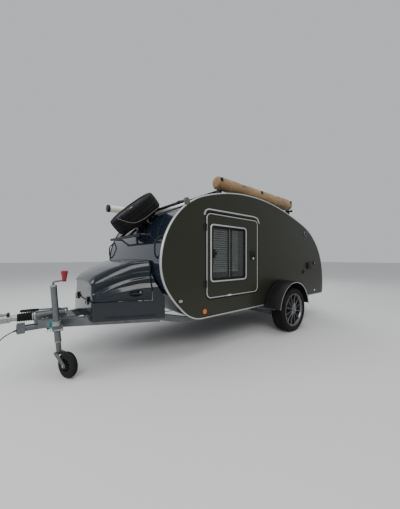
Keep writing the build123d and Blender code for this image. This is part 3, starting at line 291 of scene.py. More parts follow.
# ------------------------------------------------------------------ mesh tools
class Piece:
    """Collects vertices and faces with materials, then makes one object."""

    def __init__(self, name, body="trailer"):
        self.name, self.body = name, body
        self.v, self.f, self.mi, self.mats = [], [], [], []
        self.cur = 0

    def use(self, key):
        if M[key] not in self.mats:
            self.mats.append(M[key])
        self.cur = self.mats.index(M[key])
        return self

    def add(self, verts, faces):
        k = len(self.v)
        self.v += [tuple(p) for p in verts]
        self.f += [tuple(i + k for i in f) for f in faces]
        self.mi += [self.cur] * len(faces)
        return self

    def rings(self, rings, close_ring=True, close_path=False, cap0=True, cap1=True):
        """Skin over rings of equal length."""
        n, m = len(rings[0]), len(rings)
        faces = []
        for i in range(m if close_path else m - 1):
            a, b = i * n, ((i + 1) % m) * n
            for j in range(n if close_ring else n - 1):
                k = (j + 1) % n
                faces.append((a + j, a + k, b + k, b + j))
        if not close_path and close_ring:
            if cap0:
                faces.append(tuple(reversed(range(n))))
            if cap1:
                faces.append(tuple((m - 1) * n + j for j in range(n)))
        return self.add([p for r in rings for p in r], faces)

    def tube(self, pts, r, n=14, closed=False, caps=True, flat=1.0):
        """Round bar along points; r is one radius or one for each point."""
        P = [Vector(p) for p in pts]
        rs = r if isinstance(r, (list, tuple)) else [r] * len(P)
        up = None
        rings = []
        for i, p in enumerate(P):
            if closed:
                d = P[(i + 1) % len(P)] - P[i - 1]
            else:
                d = P[min(i + 1, len(P) - 1)] - P[max(i - 1, 0)]
            d.normalize()
            if up is None:
                up = Vector((0, 0, 1)) if abs(d.z) < 0.9 else Vector((1, 0, 0))
            side = d.cross(up).normalized()
            up = side.cross(d).normalized()
            rings.append([p + side * (math.cos(2 * math.pi * k / n) * rs[i])
                          + up * (math.sin(2 * math.pi * k / n) * rs[i] * flat) for k in range(n)])
        return self.rings(rings, close_path=closed, cap0=caps, cap1=caps)

    def lathe(self, profile, origin, axis, n=48, closed=False, arc=None):
        """Turns a profile of (along, radius) about an axis."""
        o, a = Vector(origin), Vector(axis).normalized()
        u = a.orthogonal().normalized()
        w = a.cross(u)
        rings = []
        if arc is None:
            for along, r in profile:
                rings.append([o + a * along + (u * math.cos(2 * math.pi * k / n)
                                               + w * math.sin(2 * math.pi * k / n)) * r for k in range(n)])
            return self.rings(rings, close_path=closed, cap0=not closed, cap1=not closed)
        return self

    def box(self, lo, hi, r=0.0, seg=2):
        """Box with rounded edges, between two corners."""
        bm = bmesh.new()
        bmesh.ops.create_cube(bm, size=1.0)
        lo, hi = Vector(lo), Vector(hi)
        c, d = (lo + hi) / 2, (hi - lo)
        for v in bm.verts:
            v.co = Vector((c.x + v.co.x * abs(d.x), c.y + v.co.y * abs(d.y), c.z + v.co.z * abs(d.z)))
        if r:
            bmesh.ops.bevel(bm, geom=bm.edges[:], offset=r, segments=seg, affect="EDGES", profile=0.5)
        self.from_bm(bm)
        return self

    def from_bm(self, bm, matrix=None):
        bm.verts.ensure_lookup_table()
        if matrix is not None:
            bmesh.ops.transform(bm, matrix=matrix, verts=bm.verts)
        idx = {v: i for i, v in enumerate(bm.verts)}
        self.add([v.co[:] for v in bm.verts], [tuple(idx[v] for v in f.verts) for f in bm.faces])
        bm.free()
        return self

    def bolt(self, p, axis, r=0.008, h=0.006, washer=True):
        """Hexagon head with washer, on a surface at p, standing along axis."""
        a = Vector(axis).normalized()
        p = Vector(p)
        if washer:
            self.lathe([(0, r * 1.45), (h * 0.3, r * 1.45), (h * 0.3, r * 1.2)], p, a, n=18)
        self.lathe([(h * 0.3, r), (h * 0.95, r), (h * 1.1, r * 0.8)], p, a, n=6)
        return self

    def slab(self, outline, x0, x1, r=0.0, hole=None):
        """Plate of a closed outline of (y, z), between two x."""
        if hole is None:
            if r:
                d = math.copysign(r, x1 - x0)
                rings = [[(x0, y, z) for y, z in outline], [(x1 - d, y, z) for y, z in outline],
                         [(x1 - d * 0.3, y, z) for y, z in inset(outline, r * 0.3)],
                         [(x1, y, z) for y, z in inset(outline, r)]]
            else:
                rings = [[(x0, y, z) for y, z in outline], [(x1, y, z) for y, z in outline]]
            return self.rings(rings)
        n = len(outline)
        ring = []
        for x, loop in ((x0, outline), (x1, outline), (x1, hole), (x0, hole)):
            ring.append([(x, y, z) for y, z in loop])
        return self.rings(ring, close_path=True)

    def make(self, replaces=(), slot=None, angle=38, bevel=0.0, subsurf=0, solidify=0.0):
        me = bpy.data.meshes.new(self.name)
        me.from_pydata(self.v, [], self.f)
        me.update()
        for m in self.mats:
            me.materials.append(m)
        me.polygons.foreach_set("material_index", self.mi)
        bm = bmesh.new()
        bm.from_mesh(me)
        bmesh.ops.remove_doubles(bm, verts=bm.verts, dist=1e-6)
        bmesh.ops.dissolve_degenerate(bm, edges=bm.edges, dist=1e-7)
        bmesh.ops.recalc_face_normals(bm, faces=bm.faces)
        bm.to_mesh(me)
        bm.free()
        me.shade_smooth()
        me.set_sharp_from_angle(angle=math.radians(angle))
        o = bpy.data.objects.new(self.name, me)
        bpy.context.scene.collection.objects.link(o)
        if solidify:
            s = o.modifiers.new("thick", "SOLIDIFY")
            s.thickness, s.offset = solidify, -1
        if bevel:
            b = o.modifiers.new("edge", "BEVEL")
            b.width, b.segments, b.limit_method = bevel, 2, "ANGLE"
            b.angle_limit = math.radians(35)
        if subsurf:
            b = o.modifiers.new("sub", "SUBSURF")
            b.levels = b.render_levels = subsurf
        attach(o, self.body)
        if replaces:
            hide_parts(*replaces)
        return o


def inset(loop, d):
    """Closed loop moved towards its inside by d."""
    area = sum(a[0] * b[1] - b[0] * a[1] for a, b in zip(loop, loop[1:] + loop[:1]))
    sg = 1 if area > 0 else -1
    out = []
    n = len(loop)
    for i in range(n):
        a, b, c = Vector(loop[i - 1]), Vector(loop[i]), Vector(loop[(i + 1) % n])
        d1, d2 = (b - a), (c - b)
        if d1.length < 1e-9:
            d1 = d2
        if d2.length < 1e-9:
            d2 = d1
        n1 = Vector((-d1.y, d1.x)).normalized() * sg
        n2 = Vector((-d2.y, d2.x)).normalized() * sg
        m = n1 + n2
        m = m.normalized() / max(0.5, m.normalized().dot(n1))
        out.append((b.x + m.x * d, b.y + m.y * d))
    return out


def rrect(s0, s1, z0, z1, r, n=8):
    """Rounded rectangle as a loop of (y, z)."""
    out = []
    for cx, cz, a0 in ((s1 - r, z1 - r, 0), (s0 + r, z1 - r, 90), (s0 + r, z0 + r, 180), (s1 - r, z0 + r, 270)):
        for k in range(n + 1):
            a = math.radians(a0 + 90 * k / n)
            out.append((at(cx + r * math.cos(a)), cz + r * math.sin(a)))
    return out


def body_outline(step=0.02):
    """The teardrop, from the floor's front end round the nose, the roof and the tail."""
    def chain(p, heading, targets):
        pts = []
        for q in targets:
            d = Vector(q) - Vector(p)
            al = math.atan2(heading.x * d.y - heading.y * d.x, heading.dot(d))
            L = d.length
            arc = L * (al / math.sin(al) if abs(al) > 1e-6 else 1.0)
            n = max(2, int(abs(arc) / step))
            for k in range(1, n + 1):
                t = k / n
                c = L * (math.sin(al * t) / math.sin(al) if abs(al) > 1e-6 else t)
                dirn = Matrix.Rotation(al * t, 2) @ heading
                pts.append(tuple(Vector(p) + dirn * c))
            heading = Matrix.Rotation(2 * al, 2) @ heading
            p = q
        return pts, heading
    under, _ = chain(NOSE_UNDER[0], Vector((-1, 0)), NOSE_UNDER[1:])
    top, h = chain((0.0, 0.960), Vector((0, 1)), ROOF_LINE)
    corner, _ = chain(ROOF_LINE[-1], h, [(3.396 - 0.027, 0.376)])
    floor = [(3.369 - (3.369 - 0.5) * k / 60, 0.376) for k in range(1, 60)]
    return [NOSE_UNDER[0]] + under + top + corner + floor


OUT = body_outline()


def crossing(loop, axis, value, after=0):
    for i in range(after, len(loop) - 1):
        a, b = loop[i], loop[i + 1]
        if (a[axis] - value) * (b[axis] - value) <= 0 and a[axis] != b[axis]:
            t = (value - a[axis]) / (b[axis] - a[axis])
            return i, (a[0] + (b[0] - a[0]) * t, a[1] + (b[1] - a[1]) * t)
    raise ValueError((axis, value))


def resample(pts, n):
    L = [0.0]
    for a, b in zip(pts, pts[1:]):
        L.append(L[-1] + math.dist(a, b))
    out, j = [], 0
    for k in range(n):
        t = L[-1] * k / (n - 1)
        while j < len(L) - 2 and L[j + 1] < t:
            j += 1
        u = (t - L[j]) / max(1e-9, L[j + 1] - L[j])
        a, b = pts[j], pts[j + 1]
        out.append(tuple(a[i] + (b[i] - a[i]) * u for i in range(len(a))))
    return out


def span(depth, n, start, end):
    """Stretch of the outline, moved inwards by depth, between two crossings."""
    loop = inset(OUT, depth) if depth else list(OUT)
    if start is None:
        i0, p0 = 0, (0.5, loop[0][1])
    else:
        i0, p0 = crossing(loop, start[0], start[1], start[2])
    i1, p1 = crossing(loop, end[0], end[1], max(i0 + 2, end[2]))
    return resample([p0] + loop[i0 + 1:i1 + 1] + [p1], n)


TOP0 = next(i for i, p in enumerate(OUT) if p[1] > 1.3)


def skin(name, body, start, end, n, half, mat, replaces, slot=None):
    """Curved sandwich panel between the side panels, 24 mm thick."""
    p = Piece(name, body).use(mat)
    outer, inner = span(0.006, n, start, end), span(0.030, n, start, end)
    e = 0.003
    cols = [(-half, inner), (-half, outer), (half, outer), (half, inner)]
    rings = []
    for k in range(n):
        o, i = outer[k], inner[k]
        rings.append([(-half + e, at(i[0]), i[1]), (-half, at(i[0] + (o[0] - i[0]) * 0.12), i[1] + (o[1] - i[1]) * 0.12),
                      (-half, at(i[0] + (o[0] - i[0]) * 0.88), i[1] + (o[1] - i[1]) * 0.88), (-half + e, at(o[0]), o[1]),
                      (half - e, at(o[0]), o[1]), (half, at(i[0] + (o[0] - i[0]) * 0.88), i[1] + (o[1] - i[1]) * 0.88),
                      (half, at(i[0] + (o[0] - i[0]) * 0.12), i[1] + (o[1] - i[1]) * 0.12), (half - e, at(i[0]), i[1])])
    p.rings(rings)
    # the inner faces carry the lining
    p.use("inner")
    lining = p.mats.index(M["inner"])
    per = 8
    for fi in range(len(p.f)):
        if len(p.f[fi]) == 4 and fi % per == 7:
            p.mi[fi] = lining
    return p.make(replaces=replaces, slot=slot, angle=30)


TAIL0 = next(i for i, p in enumerate(OUT) if p[0] > 3.39)
skin("nose_skin", "trailer", None, (0, 0.5, TOP0), 90, HALF_W - WALL, "roof", ["nose_panel"], "roof_paint")
skin("roof_skin", "trailer", (0, 0.5, TOP0), (0, 2.477, TOP0), 110, HALF_W - WALL, "roof", ["roof_panel"], "roof_paint")
skin("tail_hatch_skin", "hatch_body", (0, 2.483, TOP0), (1, 0.646, TOP0), 80, HALF_W - WALL - 0.006, "roof",
     ["tail_hatch"], "roof_paint")
skin("tail_lower_skin", "trailer", (1, 0.640, TOP0), (0, 3.350, TAIL0), 24, HALF_W - WALL, "roof",
     ["tail_panel"], "roof_paint")

# ------------------------------------------------------------------ side panels, edge trim, doors
for side, sx in (("left", 1), ("right", -1)):
    set_mat(side + "_side_panel", "side")
    set_mat(side + "_door", "side")
    X = sx * HALF_W
    p = Piece(side + "_edge_trim").use("trim")
    loop = OUT
    levels = [(inset(loop, 0.0120), 0.0), (inset(loop, 0.0115), 0.0032), (inset(loop, 0.0095), 0.0045),
              (inset(loop, 0.005), 0.0048), (inset(loop, 0.0), 0.0036), (inset(loop, -0.0018), 0.0005),
              (inset(loop, -0.0018), -0.018), (inset(loop, 0.0006), -0.018), (inset(loop, 0.0006), -0.001)]
    rings = [[(X + sx * dx, at(s), z) for s, z in lp] for lp, dx in levels]
    p.rings(rings, close_path=False, cap0=False, cap1=False)
    p.make(slot="trim", angle=50)

    # rubber ring on the panel round the doorway
    body = side + "_door_body"
    d = rrect(*DOOR)
    p = Piece(side + "_doorway_ring").use("rubber")
    lv = [(inset(d, -0.0062), -0.002), (inset(d, -0.0064), 0.0014), (inset(d, -0.0085), 0.0023), (inset(d, -0.0125), 0.0023),
          (inset(d, -0.0150), 0.0012), (inset(d, -0.0154), 0.0)]
    p.rings([[(X + sx * dx, y, z) for y, z in lp] for lp, dx in lv], cap0=False, cap1=False)
    p.make(slot="black_plastic", angle=60)

    # bright frame along the door's edge and its rubber seal
    p = Piece(side + "_door_frame", body).use("trim")
    lv = [(inset(d, 0.0005), 0.0), (inset(d, 0.0012), 0.0035), (inset(d, 0.0035), 0.0048), (inset(d, 0.0085), 0.0048),
          (inset(d, 0.0110), 0.0035), (inset(d, 0.0115), 0.0)]
    p.rings([[(X + sx * dx, y, z) for y, z in lp] for lp, dx in lv], cap0=False, cap1=False)
    p.make(slot="trim", angle=50)
    p = Piece(side + "_door_seal", body).use("rubber")
    lv = [(inset(d, 0.001), -0.004), (inset(d, -0.0028), -0.006), (inset(d, -0.0028), -0.018), (inset(d, 0.001), -0.020)]
    p.rings([[(X + sx * dx, y, z) for y, z in lp] for lp, dx in lv], cap0=False, cap1=False)
    p.make(slot="black_plastic", angle=60)

    # window: rolled outer frame, black glazing rubber, sliding panes
    p = Piece(side + "_window_surround", body).use("trim")
    w = rrect(*WINDOW)
    lv = [(inset(w, 0.0), 0.0), (inset(w, 0.0006), 0.0045), (inset(w, 0.003), 0.0085), (inset(w, 0.007), 0.0105),
          (inset(w, 0.012), 0.0105), (inset(w, 0.0165), 0.0080), (inset(w, 0.018), 0.003)]
    p.rings([[(X + sx * dx, y, z) for y, z in lp] for lp, dx in lv], cap0=False, cap1=False)
    p.use("rubber")
    lv = [(inset(w, 0.018), 0.004), (inset(w, 0.031), 0.0035), (inset(w, 0.0335), -0.001), (inset(w, 0.0338), -0.026),
          (inset(w, 0.017), -0.026), (inset(w, 0.017), -0.0245)]
    p.rings([[(X + sx * dx, y, z) for y, z in lp] for lp, dx in lv], cap0=False, cap1=False)
    # inner clamp ring
    p.use("plastic")
    lv = [(inset(w, 0.033), -0.026), (inset(w, 0.030), -0.031), (inset(w, 0.002), -0.031), (inset(w, 0.0), -0.026),
          (inset(w, 0.033), -0.026)]
    p.rings([[(X + sx * dx, y, z) for y, z in lp] for lp, dx in lv], cap0=False, cap1=False)
    # frames of the two panes and the middle joint
    s0, s1, z0, z1, r = WINDOW
    g = 0.034
    for a, b, x, key in ((s0 + g, MULLION[1], -0.0045, "plastic"), (MULLION[0], s1 - g, -0.0155, "plastic")):
        p.use(key)
        o = rrect(a, b, z0 + g, z1 - g, 0.016)
        i = inset(o, 0.0125)
        lv = [(o, x - 0.004), (o, x + 0.003), (inset(o, 0.002), x + 0.0045), (inset(o, 0.0105), x + 0.0045), (i, x + 0.003),
              (i, x - 0.004), (o, x - 0.004)]
        p.rings([[(X + sx * dx, y, zz) for y, zz in lp] for lp, dx in lv], cap0=False, cap1=False)
    p.use("alloy")
    xa, xb = sorted((X + sx * -0.001, X + sx * 0.0035))
    p.box((xa, at(MULLION[0] + 0.006), z0 + g + 0.01), (xb, at(MULLION[0] + 0.016), z1 - g - 0.01), 0.001)
    # catch on the sliding pane
    p.use("plastic")
    xa, xb = sorted((X - sx * 0.001, X + sx * 0.013))
    p.box((xa, at(0.650), 1.020), (xb, at(0.676), 1.115), 0.004, 3)
    xa, xb = sorted((X + sx * 0.008, X + sx * 0.022))
    p.box((xa, at(0.664), 1.048), (xb, at(0.692), 1.086), 0.005, 3)
    p.make(replaces=[side + "_window_frame"], slot="trim", angle=40)
    set_mat(side + "_window_glass", "glass")

    # slatted blind with its rails and ladder tapes
    p = Piece(side + "_slatted_blind", body).use("slat")
    xb = HALF_W - WALL - 0.007
    b0, b1, zb0, zb1 = 0.632, 1.089, 0.872, 1.376
    n = 21
    for k in range(n):
        z = zb0 + 0.012 + (zb1 - zb0 - 0.012) * k / (n - 1) - 0.004
        rg = []
        for u, w2, zz in ((0.0, -0.0042, 0.0085), (0.5, 0.0, 0.0015), (1.0, 0.0046, -0.0085)):
            rg.append((u, w2, zz))
        rings = []
        for t in range(7):
            sag = 0.0009 * math.sin(k * 2.1 + t * 1.3)
            s = b0 + (b1 - b0) * t / 6
            ring = [(sx * (xb + w2), at(s), z + zz + sag) for u, w2, zz in rg]
            ring += [(sx * (xb + w2 - 0.0007), at(s), z + zz + sag - 0.0009) for u, w2, zz in reversed(rg)]
            rings.append(ring)
        p.rings(rings)
    p.box(*[tuple(c) for c in ((min(sx * (xb - 0.006), sx * (xb + 0.006)), at(0.600), 1.378),
                               (max(sx * (xb - 0.006), sx * (xb + 0.006)), at(1.121), 1.400))], r=0.002)
    p.box(*[tuple(c) for c in ((min(sx * (xb - 0.005), sx * (xb + 0.005)), at(b0), 0.858),
                               (max(sx * (xb - 0.005), sx * (xb + 0.005)), at(b1), 0.870))], r=0.002)
    for s in (0.70, 0.86, 1.02):
        p.tube([(sx * (xb + 0.0055), at(s), 0.868), (sx * (xb + 0.0055), at(s), 1.38)], 0.0009, n=6)
        p.tube([(sx * (xb - 0.0055), at(s), 0.868), (sx * (xb - 0.0055), at(s), 1.38)], 0.0009, n=6)
    p.make(replaces=[side + "_window_blind"], slot="blind", angle=40)

    # door handle: dished plate, paddle and lock
    p = Piece(side + "_door_lock", body).use("plastic")
    base = rrect(1.290, 1.384, 0.990, 1.112, 0.016, 6)
    p.slab(base, X, X + sx * 0.006, r=0.003)
    fr = [(rrect(1.294, 1.380, 0.994, 1.108, 0.014, 6), 0.0058), (rrect(1.297, 1.377, 0.997, 1.105, 0.012, 6), 0.0115),
          (rrect(1.302, 1.372, 1.030, 1.100, 0.010, 6), 0.0115), (rrect(1.304, 1.370, 1.032, 1.098, 0.009, 6), 0.005)]
    p.rings([[(X + sx * dx, y, z) for y, z in lp] for lp, dx in fr], cap0=False, cap1=True)
    p.use("plastic")
    paddle = []
    for t in range(9):
        u = t / 8
        s = 1.306 + 0.060 * u
        h = 0.012 + 0.022 * math.sin(math.pi * min(1.0, u * 1.15) * 0.62)
        paddle.append([(X + sx * (h - 0.006), at(s), 1.052), (X + sx * h, at(s), 1.056), (X + sx * h, at(s), 1.088),
                       (X + sx * (h - 0.006), at(s), 1.092)])
    p.rings(paddle)
    p.use("chrome")
    p.lathe([(0, 0.013), (0.003, 0.013), (0.0045, 0.0115), (0.0045, 0.0105), (0.0035, 0.0100)],
            (X + sx * 0.011, at(1.337), 1.012), (sx, 0, 0), n=28)
    # painted shade: a near-black slab stands for the shaded hollow of the key slot
    p.use("recess_shade")
    xa, xb = sorted((X + sx * 0.0142, X + sx * 0.0150))
    p.box((xa, at(1.336), 1.005), (xb, at(1.338), 1.019))
    p.make(replaces=[side + "_door_handle"], slot="black_plastic", angle=35)

    # stop clip on the door's lower trim, with its screw
    p = Piece(side + "_door_clip", body).use("chrome")
    xa, xb = sorted((X, X + sx * 0.011))
    p.box((xa, at(0.872), 0.579), (xb, at(0.932), 0.599), 0.003, 2)
    p.bolt((X + sx * 0.011, at(0.902), 0.589), (sx, 0, 0), 0.005, 0.004, washer=False)
    p.make(slot="trim")

# ------------------------------------------------------------------ lamps, inlets, ring, plate
p = Piece("side_marker_lamps").use("plastic")
for sx in (1, -1):
    for s, z, r in ((0.526, 0.449, 0.030), (3.065, 0.451, 0.022)):
        o = (sx * HALF_W, at(s), z)
        p.use("plastic").lathe([(0, r), (0.004, r), (0.0045, r * 0.86)], o, (sx, 0, 0), n=40)
        p.use("orange" if s < 1 else "white").lathe([(0.003, r * 0.93), (0.008, r * 0.90), (0.0115, r * 0.72), (0.013, r * 0.45), (0.0135, r * 0.2)],
                              o, (sx, 0, 0), n=40)
p.make(replaces=["side_markers"], slot="orange_lens", angle=40)


def ell(cx, cz, a, b, n=40):
    return [(at(cx) + a * math.cos(2 * math.pi * k / n), cz + b * math.sin(2 * math.pi * k / n)) for k in range(n)]


p = Piece("front_marker_lamps").use("plastic")
for sx in (1, -1):
    X = sx * HALF_W
    p.use("plastic").slab(ell(0.220, 0.594, 0.038, 0.018), X, X + sx * 0.004, r=0.002)
    p.use("trim").slab(ell(0.220, 0.594, 0.023, 0.0140), X + sx * 0.0035, X + sx * 0.008, r=0.002)
    p.use("alloy").rings([[(X + sx * 0.007, y, z) for y, z in ell(0.220, 0.594, 0.0155, 0.0080)],
                          [(X + sx * 0.0095, y, z) for y, z in ell(0.220, 0.594, 0.0140, 0.0068)],
                          [(X + sx * 0.0115, y, z) for y, z in ell(0.220, 0.594, 0.0095, 0.0042)]])
    p.use("white").rings([[(X + sx * 0.0110, y, z) for y, z in ell(0.220, 0.594, 0.0070, 0.0034)],
                          [(X + sx * 0.0125, y, z) for y, z in ell(0.220, 0.594, 0.0050, 0.0022)]])
p.make(replaces=["front_markers"], slot="white_lens", angle=40)

p = Piece("side_sockets").use("plastic")
X = HALF_W
p.slab(rrect(2.790, 2.960, 0.828, 0.946, 0.014, 6), X, X + 0.010, r=0.003)
p.slab(rrect(2.800, 2.950, 0.838, 0.936, 0.010, 6), X + 0.009, X + 0.026, r=0.006)
p.slab(rrect(2.812, 2.938, 0.905, 0.913, 0.003, 4), X + 0.024, X + 0.0285, r=0.001)
p.box((X + 0.008, at(2.845), 0.937), (X + 0.024, at(2.905), 0.945), 0.002)
p.slab(rrect(3.022, 3.106, 0.902, 0.960, 0.010, 6), X, X + 0.010, r=0.003)
p.slab(rrect(3.034, 3.094, 0.912, 0.950, 0.008, 6), X + 0.009, X + 0.015, r=0.002)
p.use("chrome").lathe([(0, 0.009), (0.003, 0.009), (0.004, 0.007)], (X + 0.014, at(3.050), 0.931), (1, 0, 0), n=24)
p.use("plastic").lathe([(0, 0.034), (0.006, 0.034), (0.010, 0.030), (0.012, 0.022), (0.0095, 0.019)], (X, at(2.672), 0.790),
                       (1, 0, 0), n=40)
p.box((X + 0.008, at(2.668), 0.776), (X + 0.014, at(2.676), 0.804), 0.002)
p.use("alloy").lathe([(0, 0.046), (0.006, 0.046), (0.011, 0.042), (0.012, 0.037), (0.008, 0.033)], (X, at(2.748), 1.420),
                      (1, 0, 0), n=48)
p.use("plastic").lathe([(0.004, 0.034), (0.0085, 0.033), (0.010, 0.020), (0.0105, 0.010)], (X, at(2.748), 1.420), (1, 0, 0), n=40)
p.box((X + 0.009, at(2.745), 1.404), (X + 0.0145, at(2.751), 1.436), 0.002)
p.use("alloy").lathe([(0, 0.011), (0.004, 0.011), (0.006, 0.008)], (X, at(2.724), 1.335), (1, 0, 0), n=24)
p.make(replaces=["side_inlets"], slot="black_plastic", angle=35)

p = Piece("rear_lamp_clusters").use("plastic")
for sx in (1, -1):
    y0 = at(3.396 - 0.006)
    cx = sx * 0.560

    def rr(x0, x1, z0, z1, r, y, n=5):
        out = []
        for cx2, cz, a0 in ((x1 - r, z1 - r, 0), (x0 + r, z1 - r, 90), (x0 + r, z0 + r, 180), (x1 - r, z0 + r, 270)):
            for k in range(n + 1):
                a = math.radians(a0 + 90 * k / n)
                out.append((cx2 + r * math.cos(a), y, cz + r * math.sin(a)))
        return out
    p.use("plastic").rings([rr(cx - 0.105, cx + 0.105, 0.470, 0.570, 0.014, y0), rr(cx - 0.105, cx + 0.105, 0.470, 0.570, 0.014, y0 + 0.022),
                            rr(cx - 0.102, cx + 0.102, 0.473, 0.567, 0.012, y0 + 0.025)])
    cells = [(-0.100, -0.034, "orange"), (-0.031, 0.034, "red"), (0.037, 0.100, "red")]
    for a, b, key in cells:
        a, b = (a, b) if sx < 0 else (-b, -a)
        p.use(key).rings([rr(cx + a, cx + b, 0.476, 0.564, 0.010, y0 + 0.022), rr(cx + a, cx + b, 0.476, 0.564, 0.010, y0 + 0.034),
                          rr(cx + a + 0.004, cx + b - 0.004, 0.480, 0.560, 0.008, y0 + 0.0385)])
        for k in range(6):
            zz = 0.486 + 0.0125 * k
            p.box((cx + a + 0.008, y0 + 0.038, zz), (cx + b - 0.008, y0 + 0.0396, zz + 0.006), 0.0006, 1)
    p.use("white").rings([rr(cx - 0.030, cx + 0.030, 0.478, 0.500, 0.005, y0 + 0.030), rr(cx - 0.028, cx + 0.028, 0.480, 0.498, 0.004, y0 + 0.0402)])
p.make(replaces=["rear_lights"], slot="red_lens", angle=35)

p = Piece("rear_plate_holder").use("plastic")
y0 = at(3.396 - 0.006)


def rx(x0, x1, z0, z1, r, y, n=5):
    out = []
    for cx2, cz, a0 in ((x1 - r, z1 - r, 0), (x0 + r, z1 - r, 90), (x0 + r, z0 + r, 180), (x1 - r, z0 + r, 270)):
        for k in range(n + 1):
            a = math.radians(a0 + 90 * k / n)
            out.append((cx2 + r * math.cos(a), y, cz + r * math.sin(a)))
    return out


p.rings([rx(-0.265, 0.265, 0.448, 0.572, 0.010, y0), rx(-0.265, 0.265, 0.448, 0.572, 0.010, y0 + 0.008),
         rx(-0.262, 0.262, 0.451, 0.569, 0.008, y0 + 0.010)])
p.use("plate").rings([rx(-0.258, 0.258, 0.455, 0.565, 0.008, y0 + 0.009), rx(-0.258, 0.258, 0.455, 0.565, 0.008, y0 + 0.0115),
                      rx(-0.2565, 0.2565, 0.4565, 0.5635, 0.007, y0 + 0.0122)])
p.use("chrome")
for x in (-0.2, 0.2):
    p.lathe([(0, 0.006), (0.0015, 0.006), (0.003, 0.003)], (x, y0 + 0.012, 0.51), (0, 1, 0), n=16)
p.use("plastic")
for x in (-0.12, 0.12):
    p.box((x - 0.03, y0 - 0.001, 0.576), (x + 0.03, y0 + 0.026, 0.598), 0.005, 3)
    p.use("white").box((x - 0.022, y0 + 0.006, 0.5725), (x + 0.022, y0 + 0.022, 0.577), 0.001)
    p.use("plastic")
p.make(replaces=["number_plate"], slot="plate", angle=35)

p = Piece("hatch_grip", "hatch_body").use("plastic")
yh = at(3.396 - 0.010)
p.rings([rx(-0.095, 0.095, 0.700, 0.776, 0.014, yh - 0.006), rx(-0.095, 0.095, 0.700, 0.776, 0.014, yh + 0.010),
         rx(-0.090, 0.090, 0.705, 0.771, 0.012, yh + 0.014)])
grip = []
for k in range(15):
    a = math.pi * k / 14
    grip.append((-0.066 * math.cos(a), yh + 0.012 + 0.024 * math.sin(a) ** 0.6 if 0 < k < 14 else yh + 0.010, 0.738))
p.tube(grip, 0.0075, n=12, flat=1.3)
p.use("chrome").lathe([(0, 0.011), (0.003, 0.011), (0.0045, 0.009)], (0.0, yh + 0.013, 0.717), (0, 1, 0), n=24)
p.make(replaces=["hatch_handle"], slot="black_plastic", angle=35)

# rubber along the hatch's lower edge
p = Piece("hatch_edge_seal", "hatch_body").use("rubber")
lower = [(x, at(3.396 - 0.0065), 0.650) for x in (-0.70, -0.35, 0.0, 0.35, 0.70)]
p.tube(lower, 0.004, n=8)
p.make(slot="black_plastic")

# ------------------------------------------------------------------ wheels
def tyre(p, origin, axis, R, W, bead, n=240, tread=True):
    """Road tyre with ribs, sipes, shoulder blocks and sidewall rings."""
    o, a = Vector(origin), Vector(axis).normalized()
    u = a.orthogonal().normalized()
    w = a.cross(u)
    h = W / 2
    prof = []           # across, radius, kind
    side = [(h * 0.80, bead), (h * 0.86, bead + 0.004), (h * 0.90, bead + 0.010), (h * 0.975, bead + 0.022),
            (h * 1.0, bead + 0.036), (h * 0.998, bead + 0.042), (h * 0.99, bead + 0.044), (h * 0.985, bead + 0.050),
            (h * 0.962, R - 0.024), (h * 0.925, R - 0.0165)]
    tread_row = [(0.880, 11.0, 1), (0.820, 7.4, 1), (0.740, 4.8, 1), (0.645, 2.9, 1), (0.640, 10.0, 0), (0.560, 10.0, 0),
                 (0.555, 2.0, 2), (0.290, 0.6, 2), (0.285, 8.5, 0), (0.200, 8.5, 0), (0.195, 0.1, 3)]
    for x, r in side:
        prof.append((x, r, 9))
    for fx, dr, kind in tread_row:
        prof.append((h * fx, R - dr * 0.001, kind))
    full = prof + [(-x, r, k) for x, r, k in reversed(prof)]
    rings = []
    for idx, (x, r, kind) in enumerate(full):
        ring = []
        right = x < 0
        for k in range(n):
            rr = r
            if tread:
                ph = k % 8
                if right:
                    ph = (k + 4) % 8
                if kind == 1 and ph in (0, 1):
                    rr = r - (0.0055 if x * x < (h * 0.88) ** 2 else 0.004)
                if kind == 2 and k % 6 == (3 if right else 0):
                    rr = r - 0.0045
                if kind == 3 and k % 10 == 5:
                    rr = r - 0.003
            ang = 2 * math.pi * k / n
            ring.append(o + a * x + (u * math.cos(ang) + w * math.sin(ang)) * rr)
        rings.append(ring)
    # inside of the casing
    for x, r in ((-h * 0.74, bead + 0.001), (-h * 0.84, bead + 0.03), (-h * 0.80, R - 0.03), (0, R - 0.022), (h * 0.80, R - 0.03),
                 (h * 0.84, bead + 0.03), (h * 0.74, bead + 0.001)):
        rings.append([o + a * x + (u * math.cos(2 * math.pi * k / n) + w * math.sin(2 * math.pi * k / n)) * r for k in range(n)])
    p.rings(rings, close_path=True)


def spokes(p, origin, axis, count, r0, r1, face0, face1, w0, w1, depth, phase=0.0):
    """Cast spokes from the hub to the rim, wider where they meet them."""
    o, a = Vector(origin), Vector(axis).normalized()
    u = a.orthogonal().normalized()
    w = a.cross(u)
    for c in range(count):
        ang = 2 * math.pi * (c + phase) / count
        rad = u * math.cos(ang) + w * math.sin(ang)
        tan = -u * math.sin(ang) + w * math.cos(ang)
        rings = []
        for k in range(11):
            t = k / 10
            r = r0 + (r1 - r0) * t
            wide = (w0 + (w1 - w0) * t) * (1 + 0.55 * (abs(2 * t - 1) ** 4))
            face = face0 + (face1 - face0) * t - 0.006 * math.sin(math.pi * t)
            dep = depth * (1.15 - 0.35 * t)
            c0 = o + rad * r
            pts = [(-0.5, -dep * 0.75), (-0.5, -0.006), (-0.34, -0.0012), (-0.12, 0.0), (-0.06, -0.0022), (0.06, -0.0022), (0.12, 0.0),
                   (0.34, -0.0012), (0.5, -0.006), (0.5, -dep * 0.75), (0.22, -dep), (-0.22, -dep)]
            rings.append([c0 + tan * (q * wide) + a * (face + d) for q, d in pts])
        p.rings(rings)


